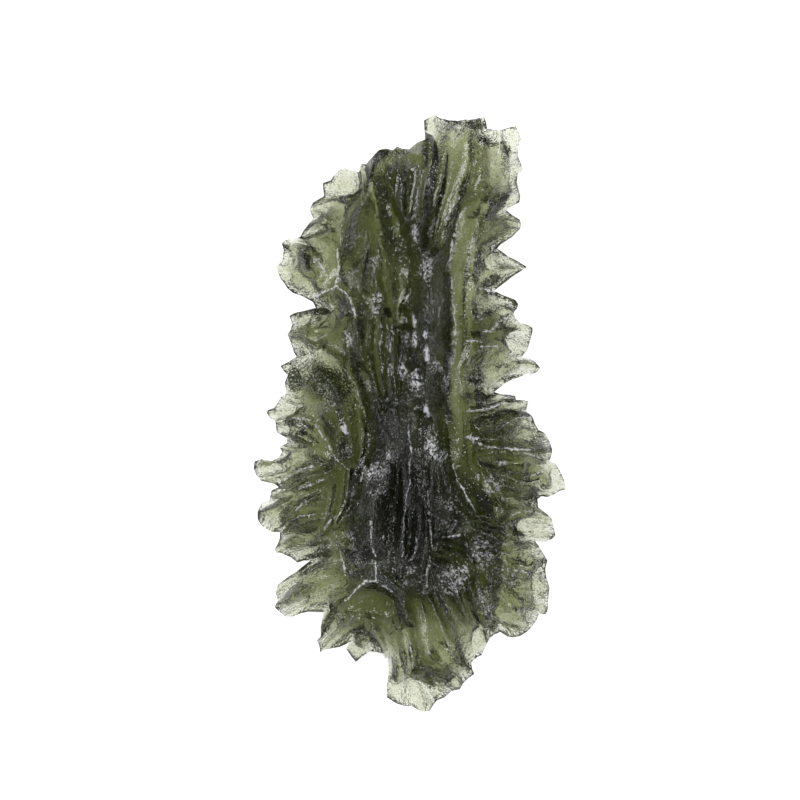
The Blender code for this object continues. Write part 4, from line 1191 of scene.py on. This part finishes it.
def pit_skin(tree, skin, coords, smooth):
    """Roughness and pits, both less on the smooth channels."""
    roughness = link_range(tree, smooth, 0.0, 1.0, SKIN_ROUGHNESS, CHANNEL_ROUGHNESS)
    tree.links.new(roughness, skin.inputs["Roughness"])
    pits = link_texture(tree, "ShaderNodeTexNoise", coords, PITS_PER_METRE)
    bump = tree.nodes.new("ShaderNodeBump")
    bump.inputs["Distance"].default_value = PIT_DEPTH
    tree.links.new(link_range(tree, smooth, 0.0, 1.0, 1.0, CHANNEL_PITS), bump.inputs["Strength"])
    tree.links.new(pits.outputs["Fac"], bump.inputs["Height"])
    tree.links.new(bump.outputs["Normal"], skin.inputs["Normal"])


def moldavite_glass():
    """The whole glass, clear inside, with frost, dirt, painted glints and painted shade on its skin."""
    glass = pour_glass()
    tree = glass.node_tree
    skin = tree.nodes["Principled BSDF"]
    coords = tree.nodes.new("ShaderNodeTexCoord").outputs["Object"]
    smooth, frost_and_glint_read, painted_shade = read_skins(tree)
    frosted_and_glinting = frost_and_glint_skin(tree, coords, frost_and_glint_read, painted_shade)
    colour_skin(tree, skin, frosted_and_glinting, dirt_and_shade_skin(tree, coords, smooth, painted_shade), painted_shade)
    pit_skin(tree, skin, coords, smooth)
    return glass


stone.data.materials.append(moldavite_glass())
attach(stone, "root")
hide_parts("moldavite")
print("nodes in the glass:", len(stone.data.materials[0].node_tree.nodes))

# %% [markdown]
# ## Floor, light and camera
#
# Stones like this are shown on a bright ground, so that light comes up through the thin flakes. A lamp under
# a clear floor could do that. A white sheet that glows softly is simpler and has no hot spot. Soft lights
# above give the shine on the skin, and the camera looks straight down from far off through a long lens.

# %% Floor
SHEET_HALF = 1.0  # metres
SHEET_WHITE = (0.8, 0.8, 0.8, 1.0)
SHEET_ROUGHNESS = 0.9
SHEET_GLOW = 0.8


def lay_floor():
    """A white sheet under the stone, glowing softly."""
    sheet = bmesh.new()
    bmesh.ops.create_grid(sheet, x_segments=1, y_segments=1, size=SHEET_HALF)
    data = bpy.data.meshes.new("floor")
    sheet.to_mesh(data)
    sheet.free()
    paper = bpy.data.materials.new("white_sheet")
    paper.use_nodes = True
    shader = paper.node_tree.nodes["Principled BSDF"]
    shader.inputs["Base Color"].default_value = SHEET_WHITE
    shader.inputs["Roughness"].default_value = SHEET_ROUGHNESS
    shader.inputs["Specular IOR Level"].default_value = 0.0
    shader.inputs["Emission Color"].default_value = (1.0, 1.0, 1.0, 1.0)
    shader.inputs["Emission Strength"].default_value = SHEET_GLOW
    data.materials.append(paper)
    floor = bpy.data.objects.new("floor", data)
    bpy.context.scene.collection.objects.link(floor)
    return floor


floor = lay_floor()

# %% Light
ROOM_LIGHT = 0.22
LAMPS = {  # place and size in metres, and power in watts
    "left_window": ((-0.12, 0.10, 0.16), 0.12, 0.32),
    "right_window": ((0.14, -0.05, 0.14), 0.10, 0.16),
    "left_card": ((-0.30, 0.0, 0.08), 0.16, 0.06),
    "right_card": ((0.30, 0.0, 0.08), 0.16, 0.06),
    "far_card": ((0.0, 0.30, 0.08), 0.16, 0.06),
    "near_card": ((0.0, -0.30, 0.08), 0.16, 0.06),
}


def hang_lights():
    """A dim white room, with soft square lights that all face the stone."""
    world = bpy.data.worlds.new("studio")
    world.use_nodes = True
    world.node_tree.nodes["Background"].inputs["Color"].default_value = (1.0, 1.0, 1.0, 1.0)
    world.node_tree.nodes["Background"].inputs["Strength"].default_value = ROOM_LIGHT
    bpy.context.scene.world = world
    for name, (place, size, power) in LAMPS.items():
        light = bpy.data.lights.new(name, "AREA")
        light.size = size
        light.energy = power
        lamp = bpy.data.objects.new(name, light)
        lamp.location = place
        lamp.rotation_euler = (-Vector(place)).to_track_quat("-Z", "Y").to_euler()
        bpy.context.scene.collection.objects.link(lamp)


hang_lights()
print(len(LAMPS), "lights,", round(sum(power for _, _, power in LAMPS.values()), 2), "W in all")

# %% Camera
VIEW_WIDTH = 800  # steps of the map across the picture
CAMERA_LENS = 200.0  # millimetres
CAMERA_SENSOR = 36.0
CAMERA_SEES = (0.01, 10.0)  # nearest and farthest, in metres


def set_camera():
    """A camera straight above the middle of the view, as far off as the lens asks, and its distance."""
    distance = VIEW_WIDTH * STEP * CAMERA_LENS / CAMERA_SENSOR
    data = bpy.data.cameras.new("camera")
    data.lens = CAMERA_LENS
    data.sensor_width = CAMERA_SENSOR
    data.clip_start, data.clip_end = CAMERA_SEES
    camera = bpy.data.objects.new("camera", data)
    middle = to_metres(VIEW_WIDTH / 2, VIEW_WIDTH / 2, REST_TO_MIDDLE)
    camera.location = (middle.x, middle.y, middle.z + distance)
    bpy.context.scene.collection.objects.link(camera)
    bpy.context.scene.camera = camera
    bpy.context.scene.view_settings.view_transform = "Standard"
    return distance


print("the camera is", round(set_camera(), 3), "m above the stone")
